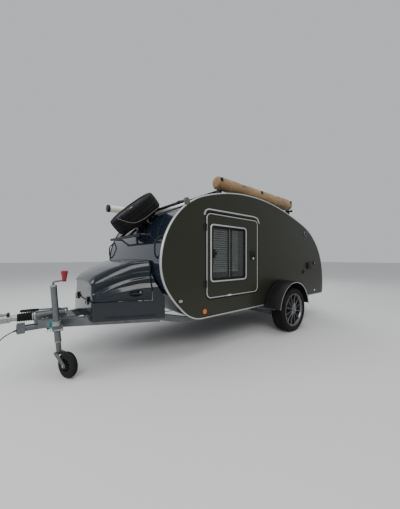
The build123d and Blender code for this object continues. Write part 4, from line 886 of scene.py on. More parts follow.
def alloy_wheel(p, origin, axis, R, half, face, lip="trim", cast="alloy"):
    """Multi-spoke wheel: barrel, outer lip, spokes, hub, cap, bolts and valve."""
    o, a = Vector(origin), Vector(axis).normalized()
    p.use(lip)
    p.lathe([(half, R + 0.004), (half + 0.003, R + 0.001), (half + 0.003, R - 0.004), (half, R - 0.0075), (half - 0.006, R - 0.008),
             (half - 0.008, R - 0.002)], o, a, n=96, closed=True)
    p.use(cast).lathe([(half - 0.004, R - 0.0075), (half - 0.012, R - 0.014), (half - 0.022, R - 0.019), (half - 0.022, R - 0.010),
                          (half - 0.006, R - 0.005)], o, a, n=96, closed=True)
    p.use("alloy_dark")
    p.lathe([(half - 0.020, R - 0.019), (half * 0.2, R - 0.030), (-half * 0.6, R - 0.026), (-half, R - 0.006), (-half, R + 0.003),
             (-half * 0.95, R + 0.003), (-half * 0.6, R - 0.019), (half * 0.2, R - 0.023), (half - 0.020, R - 0.011)], o, a, n=72,
            closed=True)
    # brake drum behind the spokes
    p.use("alloy_dark")
    p.lathe([(face - 0.105, 0.128), (face - 0.070, 0.130), (face - 0.066, 0.126), (face - 0.066, 0.046), (face - 0.105, 0.046)],
            o, a, n=64, closed=True)
    p.use(cast)
    spokes(p, o, a, 12, 0.040, R - 0.014, face - 0.004, half - 0.008, 0.0150, 0.0105, 0.026)
    hub = [(face - 0.060, 0.046), (face - 0.008, 0.050), (face - 0.003, 0.046), (face, 0.040), (face - 0.001, 0.028), (face - 0.006, 0.025)]
    p.lathe(hub + [(face - 0.060, 0.025)], o, a, n=60, closed=True)
    p.use(cast).lathe([(face - 0.012, 0.0240), (face + 0.002, 0.0240), (face + 0.006, 0.0205), (face + 0.0075, 0.012),
                          (face + 0.008, 0.004)], o, a, n=48)
    u = a.orthogonal().normalized()
    w = a.cross(u)
    for k in range(5):
        ang = 2 * math.pi * (k + 0.5) / 5
        q = o + (u * math.cos(ang) + w * math.sin(ang)) * 0.0365 + a * (face - 0.003)
        # painted shade: a near-black ring stands for the shaded hollow of each bolt's seat
        p.use("recess_shade").lathe([(0.0, 0.0068), (0.0018, 0.0070), (0.0022, 0.0060)], q, a, n=20)
        p.use("zinc").lathe([(0.001, 0.0052), (0.004, 0.0050), (0.005, 0.0036)], q, a, n=6)
    q = o + (u * 0.98 + w * 0.2).normalized() * (R - 0.034) + a * (half - 0.022)
    p.use("rubber").tube([q, q + a * 0.012, q + a * 0.024 - u * 0.004], [0.0055, 0.0042, 0.0032], n=10)


for side, sx in (("left", 1), ("right", -1)):
    o = (sx * WHEEL_X, at(AXLE_S), TYRE_R)
    body = side + "_wheel_body"
    p = Piece(side + "_road_tyre", body).use("tyre")
    tyre(p, o, (sx, 0, 0), TYRE_R, TYRE_W, RIM_R - 0.008)
    p.make(replaces=[side + "_tyre"], slot="tyre", angle=32)
    p = Piece(side + "_alloy_wheel", body)
    alloy_wheel(p, o, (sx, 0, 0), RIM_R - 0.006, 0.084, 0.088, lip="alloy")
    p.make(replaces=[side + "_rim"], slot="rim", angle=34)

# ------------------------------------------------------------------ mudguards
for side, sx in (("left", 1), ("right", -1)):
    p = Piece(side + "_mudguard").use("fender")
    x0, x1 = HALF_W, FENDER_X
    prof = [(x0, 0.366), (x0 + 0.004, 0.366), (x0 + 0.0045, 0.389), (x0 + 0.010, 0.3945), (x0 + 0.12, 0.3955), (x1 - 0.018, 0.3950),
            (x1 - 0.0065, 0.3905), (x1 - 0.005, 0.384), (x1 - 0.005, 0.379), (x1, 0.379), (x1 + 0.0004, 0.388), (x1 - 0.003, 0.3955),
            (x1 - 0.012, 0.3995), (x0 + 0.12, 0.4002), (x0 + 0.006, 0.4000), (x0, 0.396)]
    a0 = math.asin((0.352 - TYRE_R) / FENDER_R)
    N = 96
    rings = []
    for k in range(N + 1):
        a = a0 + (math.pi - 2 * a0) * k / N
        rings.append([(sx * x, at(AXLE_S) + r * math.cos(a), TYRE_R + r * math.sin(a)) for x, r in prof])
    p.rings(rings)
    # painted highlight: a bright aluminium bead on the lip stands in for the light on the mudguard's rolled edge
    p.use("trim")
    lip = []
    for k in range(N + 1):
        a = a0 + (math.pi - 2 * a0) * k / N
        lip.append((sx * (x1 - 0.004), at(AXLE_S) + 0.380 * math.cos(a), TYRE_R + 0.380 * math.sin(a)))
    p.tube(lip, 0.0055, n=10)
    # raised rib along the crown and bolts through the body flange
    p.use("fender")
    for xr in (x0 + 0.050, x1 - 0.062):
        rib = []
        for k in range(N + 1):
            a = a0 + (math.pi - 2 * a0) * k / N
            rib.append((sx * xr, at(AXLE_S) + 0.3985 * math.cos(a), TYRE_R + 0.3985 * math.sin(a)))
        p.tube(rib, 0.0042, n=8)
    p.use("zinc")
    for k in range(6):
        a = math.radians(20 + 28 * k)
        p.bolt((sx * (x0 + 0.004), at(AXLE_S) + 0.378 * math.cos(a), TYRE_R + 0.378 * math.sin(a)), (sx, 0, 0), 0.005, 0.004)
    p.make(replaces=[side + "_fender"], slot="black_plastic", angle=40)

# ------------------------------------------------------------------ front locker
LF, LR, LSEAM, LEND = -0.496, -0.014, 0.615, 0.096


def half_w(s):
    return 0.377 + 0.47 * (s + 0.496)


def table(rows, s):
    """Smooth line through rows of (s, value)."""
    if s <= rows[0][0]:
        return rows[0][1]
    if s >= rows[-1][0]:
        return rows[-1][1]
    for i, ((a, fa), (b, fb)) in enumerate(zip(rows, rows[1:])):
        if s <= b:
            ga = (fb - rows[i - 1][1]) / (b - rows[i - 1][0]) if i else (fb - fa) / (b - a)
            gb = (rows[i + 2][1] - fa) / (rows[i + 2][0] - a) if i + 2 < len(rows) else (fb - fa) / (b - a)
            t, d = (s - a) / (b - a), b - a
            return ((2 * t ** 3 - 3 * t ** 2 + 1) * fa + (t ** 3 - 2 * t ** 2 + t) * d * ga
                    + (3 * t ** 2 - 2 * t ** 3) * fb + (t ** 3 - t ** 2) * d * gb)


# Heights along the locker's side: two ledges, the hood's edge, its shoulder
LEDGE_A0 = [(-0.496, 0.6195), (-0.4568, 0.628), (-0.3956, 0.643), (-0.318, 0.676), (-0.2387, 0.701), (-0.157, 0.718),
            (-0.08, 0.728), (0.0, 0.734), (0.1, 0.738)]
LEDGE_A1 = [(-0.496, 0.662), (-0.434, 0.688), (-0.357, 0.7146), (-0.2785, 0.7394), (-0.1984, 0.7552), (-0.1167, 0.7742),
            (-0.0332, 0.7784), (0.1, 0.782)]
LEDGE_B0 = [(-0.496, 0.672), (-0.4339, 0.6945), (-0.357, 0.723), (-0.2785, 0.7579), (-0.1984, 0.7897), (-0.1167, 0.8091),
            (-0.0332, 0.8232), (0.1, 0.832)]
LEDGE_B1 = [(-0.496, 0.684), (-0.4339, 0.7085), (-0.357, 0.7513), (-0.2785, 0.7856), (-0.1984, 0.8112), (-0.1167, 0.828),
            (-0.0332, 0.8356), (0.1, 0.843)]
HOOD = [(-0.496, 0.765), (-0.4568, 0.7773), (-0.3956, 0.7981), (-0.318, 0.8235), (-0.2387, 0.8448), (-0.1577, 0.8712),
        (-0.1002, 0.8796), (-0.05, 0.8836), (0.1, 0.889)]
SHOULDER = [(-0.496, 0.802), (-0.478, 0.820), (-0.447, 0.847), (-0.391, 0.879), (-0.327, 0.9115), (-0.245, 0.944),
            (-0.161, 0.972), (-0.076, 0.985), (0.0, 0.990), (0.1, 0.991)]
SHOULDER_X = [(-0.496, 0.290), (-0.430, 0.322), (-0.330, 0.372), (-0.245, 0.422), (-0.161, 0.475), (-0.076, 0.528),
              (0.0, 0.570), (0.1, 0.616)]


def soften(ctrl, r, n=4):
    """Polyline with its corners turned into short bends of n steps."""
    out = [ctrl[0]]
    for a, b, c in zip(ctrl, ctrl[1:], ctrl[2:]):
        la, lc = math.dist(a, b), math.dist(b, c)
        ra, rc = min(r, 0.45 * la), min(r, 0.45 * lc)
        p0 = [b[i] + (a[i] - b[i]) * ra / la for i in (0, 1)]
        p2 = [b[i] + (c[i] - b[i]) * rc / lc for i in (0, 1)]
        for k in range(n + 1):
            u = k / n
            out.append([(1 - u) ** 2 * p0[i] + 2 * u * (1 - u) * b[i] + u * u * p2[i] for i in (0, 1)])
    out.append(ctrl[-1])
    return out


def section(s, n_hood=16, n_top=22):
    """Half section of the lid at station s, from the seam to the crown's middle: (x, z)."""
    d = s - LF
    ins = 0.034 - math.sqrt(max(0.0, 0.034 ** 2 - (0.034 - d) ** 2)) if d < 0.034 else 0.0
    w = half_w(s) - ins - 0.002
    a0, a1, b0, b1 = (table(k, s) for k in (LEDGE_A0, LEDGE_A1, LEDGE_B0, LEDGE_B1))
    h, zs, xs = table(HOOD, s), table(SHOULDER, s) - ins * 0.25, table(SHOULDER_X, s) - ins * 0.5
    side = soften([[w, LSEAM], [w, a0], [w - 0.019, a1], [w - 0.0205, b0], [w - 0.036, b1], [w - 0.0375, h - 0.008],
                   [w - 0.0315, h - 0.002], [w - 0.0345, h + 0.006]], 0.0055)
    zc = zs + 0.013
    x0, z0 = side[-1]
    x2 = xs - 0.050
    z2 = zc - (zc - zs) * (x2 / xs) ** 2
    fall = -2 * (zc - zs) * x2 / xs ** 2
    x1 = xs + (x0 - xs) * 0.62
    z1 = z2 + fall * (x1 - x2)
    pts = list(side)
    for k in range(1, n_hood + 1):
        u = k / n_hood
        pts.append([(1 - u) ** 2 * x0 + 2 * u * (1 - u) * x1 + u * u * x2, (1 - u) ** 2 * z0 + 2 * u * (1 - u) * z1 + u * u * z2])
    for k in range(1, n_top + 1):
        x = x2 * (1 - k / n_top)
        pts.append([x, zc - (zc - zs) * (x / xs) ** 2])
    return pts


def lid_x(s, z):
    """Half width of the locker's side surface at a height."""
    q = section(s)
    for a, b in zip(q, q[1:]):
        if a[1] <= z <= b[1] and b[1] > a[1]:
            return a[0] + (b[0] - a[0]) * (z - a[1]) / (b[1] - a[1])
    return q[0][0]


def brow(z):
    """How far the front face lies behind the hood's front lip at a height."""
    u = min(1.0, max(0.0, (0.770 - z) / 0.010))
    return 0.0085 * u * u * (3 - 2 * u)


p = Piece("locker_lid_shell", "lid_body").use("gel")
stations = [LF + 0.034 * (1 - math.cos(math.pi / 2 * k / 7)) for k in range(8)]
stations += [LF + 0.034 + (LR - LF - 0.034) * k / 48 for k in range(1, 49)]
rings = []
for s in stations:
    back = max(0.0, 1 - (s - LF) / 0.034)
    h = [(x, at(s + brow(z) * back), z) for x, z in section(s)]
    rings.append(h + [(-x, y, z) for x, y, z in reversed(h[:-1])])
p.rings(rings, close_ring=False)
# front face in rings towards the middle of the seam
front = rings[0]
grid = [front]
for t in (0.985, 0.96, 0.93, 0.9, 0.65, 0.35, 0.08):
    grid.append([(x * t, at(LF + brow(LSEAM + (z - LSEAM) * t)), LSEAM + (z - LSEAM) * t) for x, y, z in front])
p.rings(list(reversed(grid)), close_ring=False)
p.add(grid[-1], [tuple(range(len(front)))])
p.make(replaces=["locker_lid"], slot="roof_paint", angle=50, solidify=0.004)

# seals at the lid's lower lip and along its rear edge, hinge leaves
p = Piece("locker_lid_fittings", "lid_body").use("rubber")
edge = []
for k in range(24):
    s = LF + 0.036 + (LR - LF - 0.04) * (23 - k) / 23
    edge.append((half_w(s) - 0.0105, at(s), LSEAM + 0.0015))
corner = half_w(LF) - 0.039
edge += [(corner, at(LF + 0.013), LSEAM + 0.0015), (-corner, at(LF + 0.013), LSEAM + 0.0015)]
for k in range(24):
    s = LF + 0.036 + (LR - LF - 0.04) * k / 23
    edge.append((-(half_w(s) - 0.0105), at(s), LSEAM + 0.0015))
p.tube(edge, 0.0022, n=8)
p.tube([(x, at(LR) + 0.001, z - 0.002) for x, z in section(LR)[30:]]
       + [(-x, at(LR) + 0.001, z - 0.002) for x, z in reversed(section(LR)[30:-1])], 0.004, n=8)
p.use("gel")
for x in (-0.21, 0.21):
    p.box((x - 0.020, at(-0.5045), 0.616), (x + 0.020, at(-0.4865), 0.646), 0.001)
    p.lathe([(-0.020, 0.006), (0.020, 0.006)], (x, at(-0.507), 0.612), (1, 0, 0), n=24)
    for q in (-0.012, 0.012):
        p.bolt((x + q, at(-0.5045), 0.636), (0, -1, 0), 0.0035, 0.003, washer=False)
# T handles in their dishes, one each side
for sx in (1, -1):
    sH, zH = -0.150, 0.6845
    xs = lid_x(sH, zH)
    n_out = Vector((sx, -0.47, 0)).normalized()
    along = Vector((0.47 * sx, 1, 0)).normalized()
    up = Vector((0, 0, 1))
    c = Vector((sx * (xs + 0.0015), at(sH), zH))
    rows = []
    for a, b, h in ((0.064, 0.032, -0.010), (0.064, 0.032, 0.006), (0.060, 0.029, 0.009), (0.055, 0.025, 0.006), (0.050, 0.021, -0.002)):
        rows.append([c + along * (a * math.cos(math.tau * i / 36)) + up * (b * math.sin(math.tau * i / 36)) + n_out * h
                     for i in range(36)])
    p.use("plastic").rings(rows)
    p.tube([c + n_out * -0.002, c + n_out * 0.020], [0.010, 0.009], n=18)
    p.tube([c + n_out * 0.020 - along * 0.050 - up * 0.004, c + n_out * 0.022, c + n_out * 0.020 + along * 0.040 + up * 0.006],
           [0.008, 0.012, 0.0085], n=14, flat=0.8)
    p.use("alloy").lathe([(0, 0.0115), (0.007, 0.0115), (0.010, 0.008)], c + n_out * 0.018 + along * 0.044 + up * 0.010, n_out, n=18)
p.make(slot="galvanised", angle=35)

# tub: walls with rounded front corners, floor, skirt, and cheeks under the nose
p = Piece("locker_tub").use("gel")


def plan(ins, s_end):
    pts = []
    for k in range(20):
        s = s_end + (LF + 0.034 - s_end) * k / 19
        pts.append((half_w(s) - ins - 0.002, at(s)))
    for k in range(1, 9):
        a = math.pi / 2 * k / 8
        pts.append((half_w(LF + 0.034) - 0.036 + (0.034 - ins) * math.cos(a), at(LF + 0.034 - (0.034 - ins) * math.sin(a))))
    return pts + [(-x, y) for x, y in reversed(pts)]


outer = []
for z in (0.436, 0.446, 0.457, 0.475, 0.50, 0.53, 0.56, 0.59, 0.603, 0.608):
    row = []
    for x, y in plan(0.0, LEND):
        dent = 0.004 if -0.43 < y - NOSE_Y < 0.06 and 0.475 <= z <= 0.59 else 0.0
        row.append((x - math.copysign(dent, x), y, z))
    outer.append(row)
inner = [[(x, y, rw[0][2]) for x, y in plan(0.005, LEND)] for rw in reversed(outer)]
p.rings(outer + inner + [outer[0]], close_ring=False)
floor_edge = plan(0.004, LEND - 0.004)
p.rings([[(x, y, 0.4585) for x, y in floor_edge], [(x, y, 0.4625) for x, y in floor_edge]])
# cheeks
nose_edge = inset(OUT, -0.012)
i_tip = min(range(len(nose_edge)), key=lambda i: nose_edge[i][0])


def nose_s(z):
    for i in range(1, i_tip + 1):
        a, b = nose_edge[i - 1], nose_edge[i]
        if min(a[1], b[1]) <= z <= max(a[1], b[1]) and a[1] != b[1]:
            return a[0] + (b[0] - a[0]) * (z - a[1]) / (b[1] - a[1])
    return nose_edge[i_tip][0]


levels = []
z = 0.609
while z < 0.90 and nose_s(z) > -0.004:
    levels.append(z)
    z += 0.005
for sx in (1, -1):
    rows = []
    for z in levels:
        row = []
        for k in range(10):
            s = -0.008 + (min(nose_s(z), LEND) + 0.008) * k / 9
            row.append((sx * (lid_x(s, z) if z > LSEAM else half_w(s) - 0.002), at(s), z))
        rows.append(row)
    inn = [[(x - sx * 0.005, y, z) for x, y, z in r] for r in reversed(rows)]
    p.rings(rows + inn + [rows[0]], close_ring=False)
p.use("rubber")
rim = []
for k in range(22):
    s = -0.012 + (LF + 0.04 + 0.012) * k / 21
    rim.append((half_w(s) - 0.006, at(s), 0.6085))
rim += [(half_w(LF) - 0.04, at(LF + 0.006), 0.6085), (-(half_w(LF) - 0.04), at(LF + 0.006), 0.6085)]
rim += [(-x, y, z) for x, y, z in reversed(rim[:22])]
p.tube(rim, 0.0028, n=8)
p.make(replaces=["front_locker"], slot="roof_paint", angle=45)

# ------------------------------------------------------------------ nose handles
set_mat("nose_handles", "plastic")
set_mat("hinge_brackets", "bar")
# the locker's hinge halves are painted with it
hinges = nodes["hinge_brackets"]
hinges.data.materials.append(M["gel"])
for face in hinges.data.polygons:
    if (hinges.matrix_world @ face.center).y < at(-0.3):
        face.material_index = 1
set_mat("rain_rails", "trim")
set_mat("floor_panel", "bar")
set_mat("galley_unit", "wood")
for k in ("cross_members", "axle_beam", "left_chassis_rail", "right_chassis_rail"):
    set_mat(k, "galv")

# ------------------------------------------------------------------ roof bars, carrier, spare wheel, tube
# name, s, z of the axis, radius, right end x, left end x, foot x
BARS = [("front_roof_bar", 0.293, 1.586, 0.022, -0.812, 0.745, 0.610), ("middle_roof_bar", 0.862, 1.822, 0.015, -0.812, 0.650, 0.610),
        ("rear_roof_bar", 2.400, 1.768, 0.015, -0.690, 0.690, 0.610)]
for row in BARS:
    set_mat(row[0], "bar")
set_mat("spare_carrier", "bar")
set_mat("storage_tube", "cream")

p = Piece("roof_bar_fittings").use("trim")
name, s, z, r, x0, x1, foot_x = BARS[0]
p.box((x0 + 0.09, at(s - 0.0225), z - 0.043), (x1 - 0.012, at(s - 0.0165), z - 0.018), 0.0015)
p.use("cap").lathe([(-0.011, 0.024), (-0.011, 0.032), (-0.008, 0.036), (0.006, 0.036), (0.011, 0.031), (0.012, 0.0)],
                   (x1 - 0.002, at(s), z), (1, 0, 0), n=40)
for name, s, z, r, x0, x1, foot_x in BARS:
    p.use("plastic")
    for x, d in ((x0, -1), (x1, 1)):
        if d > 0 and name == "front_roof_bar":
            continue
        p.lathe([(-0.012, r + 0.0015), (0.003, r + 0.0015), (0.006, r - 0.003)], (x, at(s), z), (d, 0, 0), n=28)
    for sx in (1, -1):
        # clamps round the bar above each foot
        p.use("plastic")
        x = sx * foot_x
        p.lathe([(-0.020, r + 0.005), (0.020, r + 0.005)], (x, at(s), z), (1, 0, 0), n=32)
        if name != "front_roof_bar":
            p.box((x - 0.028, at(s - 0.026), z - 0.036), (x + 0.028, at(s + 0.026), z - 0.008), 0.006, 3)
        p.use("zinc").bolt((x, at(s), z + r + 0.0045), (0, 0, 1), 0.006, 0.005)
# bolts through the post under the storage tube
p.use("zinc")
for z in (1.625, 1.660):
    for d in (1, -1):
        p.bolt((-0.790 + d * 0.012, at(0.293), z), (d, 0, 0), 0.006, 0.005)
p.make(slot="bar_black", angle=35)

p = Piece("storage_tube_caps").use("plastic")
for s, d in ((-0.010, -1), (1.490, 1)):
    p.lathe([(-0.034, 0.0525), (-0.034, 0.0505), (-0.03, 0.0535), (-0.004, 0.0535), (0.001, 0.050), (0.002, 0.040)],
            (-0.790, at(s), 1.730), (0, d, 0), n=56)
p.use("webbing")
for s in (0.293, 0.862):
    for off in (-0.012, 0.012):
        ring = []
        for k in range(40):
            a = 2 * math.pi * k / 40
            ring.append([(-0.790 + r * math.cos(a), at(s + off + w), 1.730 + r * math.sin(a))
                         for r, w in ((0.0505, -0.004), (0.0518, -0.004), (0.0518, 0.004), (0.0505, 0.004))])
        p.rings(ring, close_path=True)
p.make(slot="black_plastic", angle=40)

# spare wheel with its tread, on the inclined carrier
TILT = math.radians(42.8)
slope = Vector((0, math.cos(TILT), math.sin(TILT)))
rise = Vector((0, -slope.z, slope.y))
mid = Vector((0, at(0.075), 1.550))
p = Piece("spare_road_wheel").use("tyre")
tyre(p, mid, rise, TYRE_R, TYRE_W, RIM_R - 0.008, n=240)
alloy_wheel(p, mid, rise, RIM_R - 0.006, 0.078, 0.050, lip="alloy_dark", cast="alloy_dark")
p.use("zinc").lathe([(0.060, 0.018), (0.078, 0.018), (0.082, 0.014)], mid, rise, n=6)
p.make(replaces=["spare_wheel"], slot="tyre", angle=32)


def strap(p, pts, width, thick, side_hint):
    """Flat webbing along points; side_hint gives the direction of its width."""
    P = [Vector(q) for q in pts]
    rings = []
    for i, q in enumerate(P):
        d = (P[min(i + 1, len(P) - 1)] - P[max(i - 1, 0)]).normalized()
        w = (Vector(side_hint) - d * d.dot(Vector(side_hint))).normalized()
        n = d.cross(w).normalized()
        rings.append([q - w * (width / 2) - n * thick / 2, q + w * (width / 2) - n * thick / 2,
                      q + w * (width / 2) + n * thick / 2, q - w * (width / 2) + n * thick / 2])
    p.rings(rings)


# lashing round the near and far sides of the spare wheel, tied off on the front bar
p = Piece("spare_wheel_lashing").use("strap")
for sx in (1, -1):
    pts = []
    for ang, r, h in ((74, 0.235, TYRE_W / 2 - 0.022), (70, 0.262, TYRE_W / 2 - 0.001), (64, 0.286, TYRE_W / 2 - 0.010), (58, 0.301, 0.068),
                      (52, 0.3035, 0.030), (45, 0.3035, -0.012), (38, 0.3035, -0.040), (29, 0.303, -0.056), (18, 0.302, -0.064),
                      (5, 0.301, -0.068), (-10, 0.299, -0.072), (-24, 0.296, -0.078), (-36, 0.288, -0.088), (-44, 0.270, -0.102)):
        a = math.radians(ang)
        pts.append(mid + Vector((sx * r * math.cos(a), 0, 0)) - slope * (r * math.sin(a)) + rise * h)
    bar = Vector((sx * 0.215, at(BARS[0][1]), BARS[0][2]))
    pts += [bar + rise * 0.0255 + slope * 0.002, bar + slope * 0.0255]
    p.tube(resample([tuple(v) for v in pts], 70), 0.0030, n=8)
    p.tube([bar + slope * 0.024 - Vector((0.012, 0, 0)), bar + slope * 0.027, bar + slope * 0.024 + Vector((0.012, 0, 0))], 0.006, n=10)
p.make(slot="bar_black", angle=40)

# carrier clamps on the rails, standoffs to the nose, caps and bolts of the low bar
p = Piece("carrier_fittings").use("zinc")
low, high = Vector((0, at(-0.062), 1.252)), Vector((0, at(BARS[0][1]), BARS[0][2]))
run = (high - low).normalized()
for sx in (1, -1):
    for k in (0.27, 0.62):
        c = low + (high - low) * k + Vector((sx * 0.130, 0, 0))
        p.lathe([(-0.014, 0.0145), (-0.014, 0.0168), (0.014, 0.0168), (0.014, 0.0145)], c, run, n=28, closed=True)
        p.bolt(c + Vector((sx * 0.016, 0, 0)), (sx, 0, 0), 0.0075, 0.007)
    c = low + (high - low) * 0.62 + Vector((sx * 0.130, 0, 0))
    p.tube([c, c + Vector((0, 0.034, -0.036))], 0.008, n=14)
    p.lathe([(0, 0.024), (0.004, 0.024), (0.006, 0.020)], c + Vector((0, 0.034, -0.036)), (0, -0.687, 0.727), n=28)
    for s in (-0.030, -0.002):
        p.bolt((sx * 0.400, at(s), 1.261), (0, 0, 1), 0.006, 0.006)
    p.use("plastic").lathe([(-0.006, 0.0172), (0.003, 0.0172), (0.006, 0.012)], (sx * 0.430, at(-0.062), 1.252), (sx, 0, 0), n=28)
    p.use("zinc")
p.make(slot="galvanised")

# ------------------------------------------------------------------ awning bag
BAG_X, R0, R1 = 0.590, 0.080, 0.092
BS0, BS1 = 0.822, 2.462
BZ0 = 1.822 + 0.015 + R0 + 0.0003 + 0.0015
BZ1 = 1.768 + 0.015 + R1 + 0.0003 - 0.001


def bag_axis(s):
    t = (s - BS0) / (BS1 - BS0)
    return Vector((BAG_X, at(s), BZ0 + (BZ1 - BZ0) * t))


def bag_mesh():
    """Roll of canvas in its bag: slack folds, drawn-in ends, hollow under the straps."""
    n, m = 84, 150
    v, f = [], []
    for j in range(m + 1):
        t = j / m
        s = BS0 + 0.004 + (BS1 - BS0 - 0.008) * t
        c = bag_axis(s)
        R = (R0 + (R1 - R0) * t) * 0.975
        e = min(t, 1 - t) * (BS1 - BS0)
        end = math.sqrt(max(0.0, 1 - (1 - min(1.0, e / 0.05)) ** 2)) * 0.22 + 0.78
        tie = 0.0
        for st in (0.862, 1.25, 1.64, 2.03, 2.400):
            tie += 0.007 * math.exp(-((s - st) / 0.035) ** 2)
        for k in range(n):
            a = 2 * math.pi * k / n
            q = Vector((math.cos(a) * 1.6, s * 3.4, math.sin(a) * 1.6))
            fold = noise.noise(q * 1.9) * 0.0062 + noise.noise(q * 4.6 + Vector((3, 1, 2))) * 0.0026
            seamy = 0.0035 * math.exp(-((a - 0.55) / 0.10) ** 2)
            r = R * end + fold * (0.4 + 0.6 * min(1, e / 0.08)) - tie + seamy
            zz = math.sin(a) * r
            if zz < -R * 0.93:
                zz = -R * 0.93 + (zz + R * 0.93) * 0.35
            v.append((c.x + math.cos(a) * r, c.y, c.z + zz + 0.0015))
    for j in range(m):
        for k in range(n):
            k2 = (k + 1) % n
            f.append((j * n + k, j * n + k2, (j + 1) * n + k2, (j + 1) * n + k))
    for j, flip in ((0, True), (m, False)):
        base = len(v)
        c = bag_axis(BS0 + 0.004 if flip else BS1 - 0.004)
        ring = [j * n + k for k in range(n)]
        last = ring
        for t, push in ((0.86, 0.004), (0.55, 0.006), (0.2, 0.006)):
            idx = []
            for k in range(n):
                p0 = Vector(v[ring[k]])
                pucker = 0.0028 * math.sin(k * 0.9) * t
                q = Vector((c.x, p0.y, c.z)).lerp(p0, t)
                q.y += (-1 if flip else 1) * (push * 0.4) + pucker
                v.append(tuple(q))
                idx.append(len(v) - 1)
            for k in range(n):
                k2 = (k + 1) % n
                quad = (last[k], last[k2], idx[k2], idx[k])
                f.append(tuple(reversed(quad)) if not flip else quad)
            last = idx
        f.append(tuple(last) if flip else tuple(reversed(last)))
    return v, f


v, f = bag_mesh()
me = bpy.data.meshes.new("rolled_awning_bag")
me.from_pydata(v, [], f)
bm = bmesh.new()
bm.from_mesh(me)
bmesh.ops.recalc_face_normals(bm, faces=bm.faces)
bm.to_mesh(me)
bm.free()
me.materials.append(M["canvas"])
me.shade_smooth()
bag = bpy.data.objects.new("rolled_awning_bag", me)
bpy.context.scene.collection.objects.link(bag)


def swell(obj, cap, pressure=1.6, frames=16):
    """Cloth pressure fills the roll; how far each point may move is capped."""
    scene = bpy.context.scene
    rest = [v.co.copy() for v in obj.data.vertices]
    c = obj.modifiers.new("cloth", "CLOTH")
    st = c.settings
    st.quality = 5
    st.use_pressure = True
    st.uniform_pressure_force = pressure
    st.tension_stiffness = st.compression_stiffness = 30
    st.bending_stiffness = 0.4
    st.mass = 0.3
    st.effector_weights.gravity = 0.0
    c.point_cache.frame_start, c.point_cache.frame_end = 1, frames
    for fr in range(1, frames + 1):
        scene.frame_set(fr)
    dg = bpy.context.evaluated_depsgraph_get()
    ev = obj.evaluated_get(dg)
    moved = [v.co.copy() for v in ev.data.vertices]
    obj.modifiers.remove(c)
    for v, a, b in zip(obj.data.vertices, rest, moved):
        d = b - a
        if d.length > cap:
            d = d * (cap / d.length)
        v.co = a + d
    obj.data.update()
    scene.frame_set(1)


swell(bag, 0.004)
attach(bag, "trailer")
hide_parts("awning_bag")

# straps, buckles and zip of the bag
p = Piece("awning_bag_straps").use("canvas")
for st in (0.862, 1.64, 2.400):
    c = bag_axis(st)
    t = (st - BS0) / (BS1 - BS0)
    R = (R0 + (R1 - R0) * t) * 0.975 - 0.0045
    ring = []
    for k in range(72):
        a = 2 * math.pi * k / 72
        zr = math.sin(a) * (R + 0.0012)
        if zr < -R * 0.94:
            zr = -R * 0.94
        ring.append([(c.x + math.cos(a) * (R + d), c.y + w, c.z + zr * (R + d) / (R + 0.0012) + 0.0015)
                     for d, w in ((0.0004, -0.0125), (0.0024, -0.0125), (0.0024, 0.0125), (0.0004, 0.0125))])
    p.rings(ring, close_path=True)
    a = math.radians(20)
    q = Vector((c.x + math.cos(a) * (R + 0.004), c.y, c.z + math.sin(a) * (R + 0.004)))
    p.use("plastic").box(q - Vector((0.005, 0.019, 0.024)), q + Vector((0.005, 0.019, 0.024)), 0.003, 2)
    p.use("canvas")
zip_line = []
for k in range(60):
    s = BS0 + 0.03 + (BS1 - BS0 - 0.06) * k / 59
    t = (s - BS0) / (BS1 - BS0)
    R = (R0 + (R1 - R0) * t) * 0.975
    c = bag_axis(s)
    zip_line.append((c.x + math.cos(0.55) * (R + 0.0025), c.y, c.z + math.sin(0.55) * (R + 0.0025)))
strap(p, zip_line, 0.014, 0.0016, (-0.52, 0, 0.85))
p.make(slot="black_plastic", angle=40)

# ------------------------------------------------------------------ coupling and A-frame details
for k in ("coupling_tube", "overrun_housing"):
    set_mat(k, "galv")

DZ, HZ = 0.388, 0.488
p = Piece("coupling_socket").use("zinc")
p.lathe([(0.0, 0.026), (0.142, 0.026)], (0, at(-1.160), HZ), (0, 1, 0), n=40)
p.rings([[(x * w, at(s), HZ + z) for x, z in ((-1, -0.028), (-1, 0.010), (-0.7, 0.026), (-0.25, 0.034), (0.25, 0.034), (0.7, 0.026), (1, 0.010),
                                               (1, -0.028))]
         for s, w in ((-1.205, 0.043), (-1.180, 0.044), (-1.140, 0.041), (-1.110, 0.036), (-1.080, 0.034), (-1.062, 0.034))])
dome = [(-0.066, 0.0425), (-0.060, 0.044), (-0.010, 0.044), (0.008, 0.041), (0.018, 0.030), (0.022, 0.012)]
cavity = [(-0.026, 0.0254), (-0.066, 0.0256)]
p.lathe([(-0.026, 0.001), (-0.026, 0.0254), (-0.066, 0.0256), (-0.068, 0.030), (-0.068, 0.040), (-0.066, 0.0425), (-0.060, 0.044),
         (-0.010, 0.044), (0.008, 0.041), (0.018, 0.030), (0.022, 0.012), (0.0225, 0.001)], (0, at(-1.200), HZ), (0, 0, 1), n=56)
for s in (-1.092, -1.074):
    for sx in (1, -1):
        p.bolt((sx * 0.034, at(s), HZ - 0.006), (sx, 0, 0), 0.008, 0.008)
p.make(replaces=["coupling_head"], slot="galvanised", angle=35)

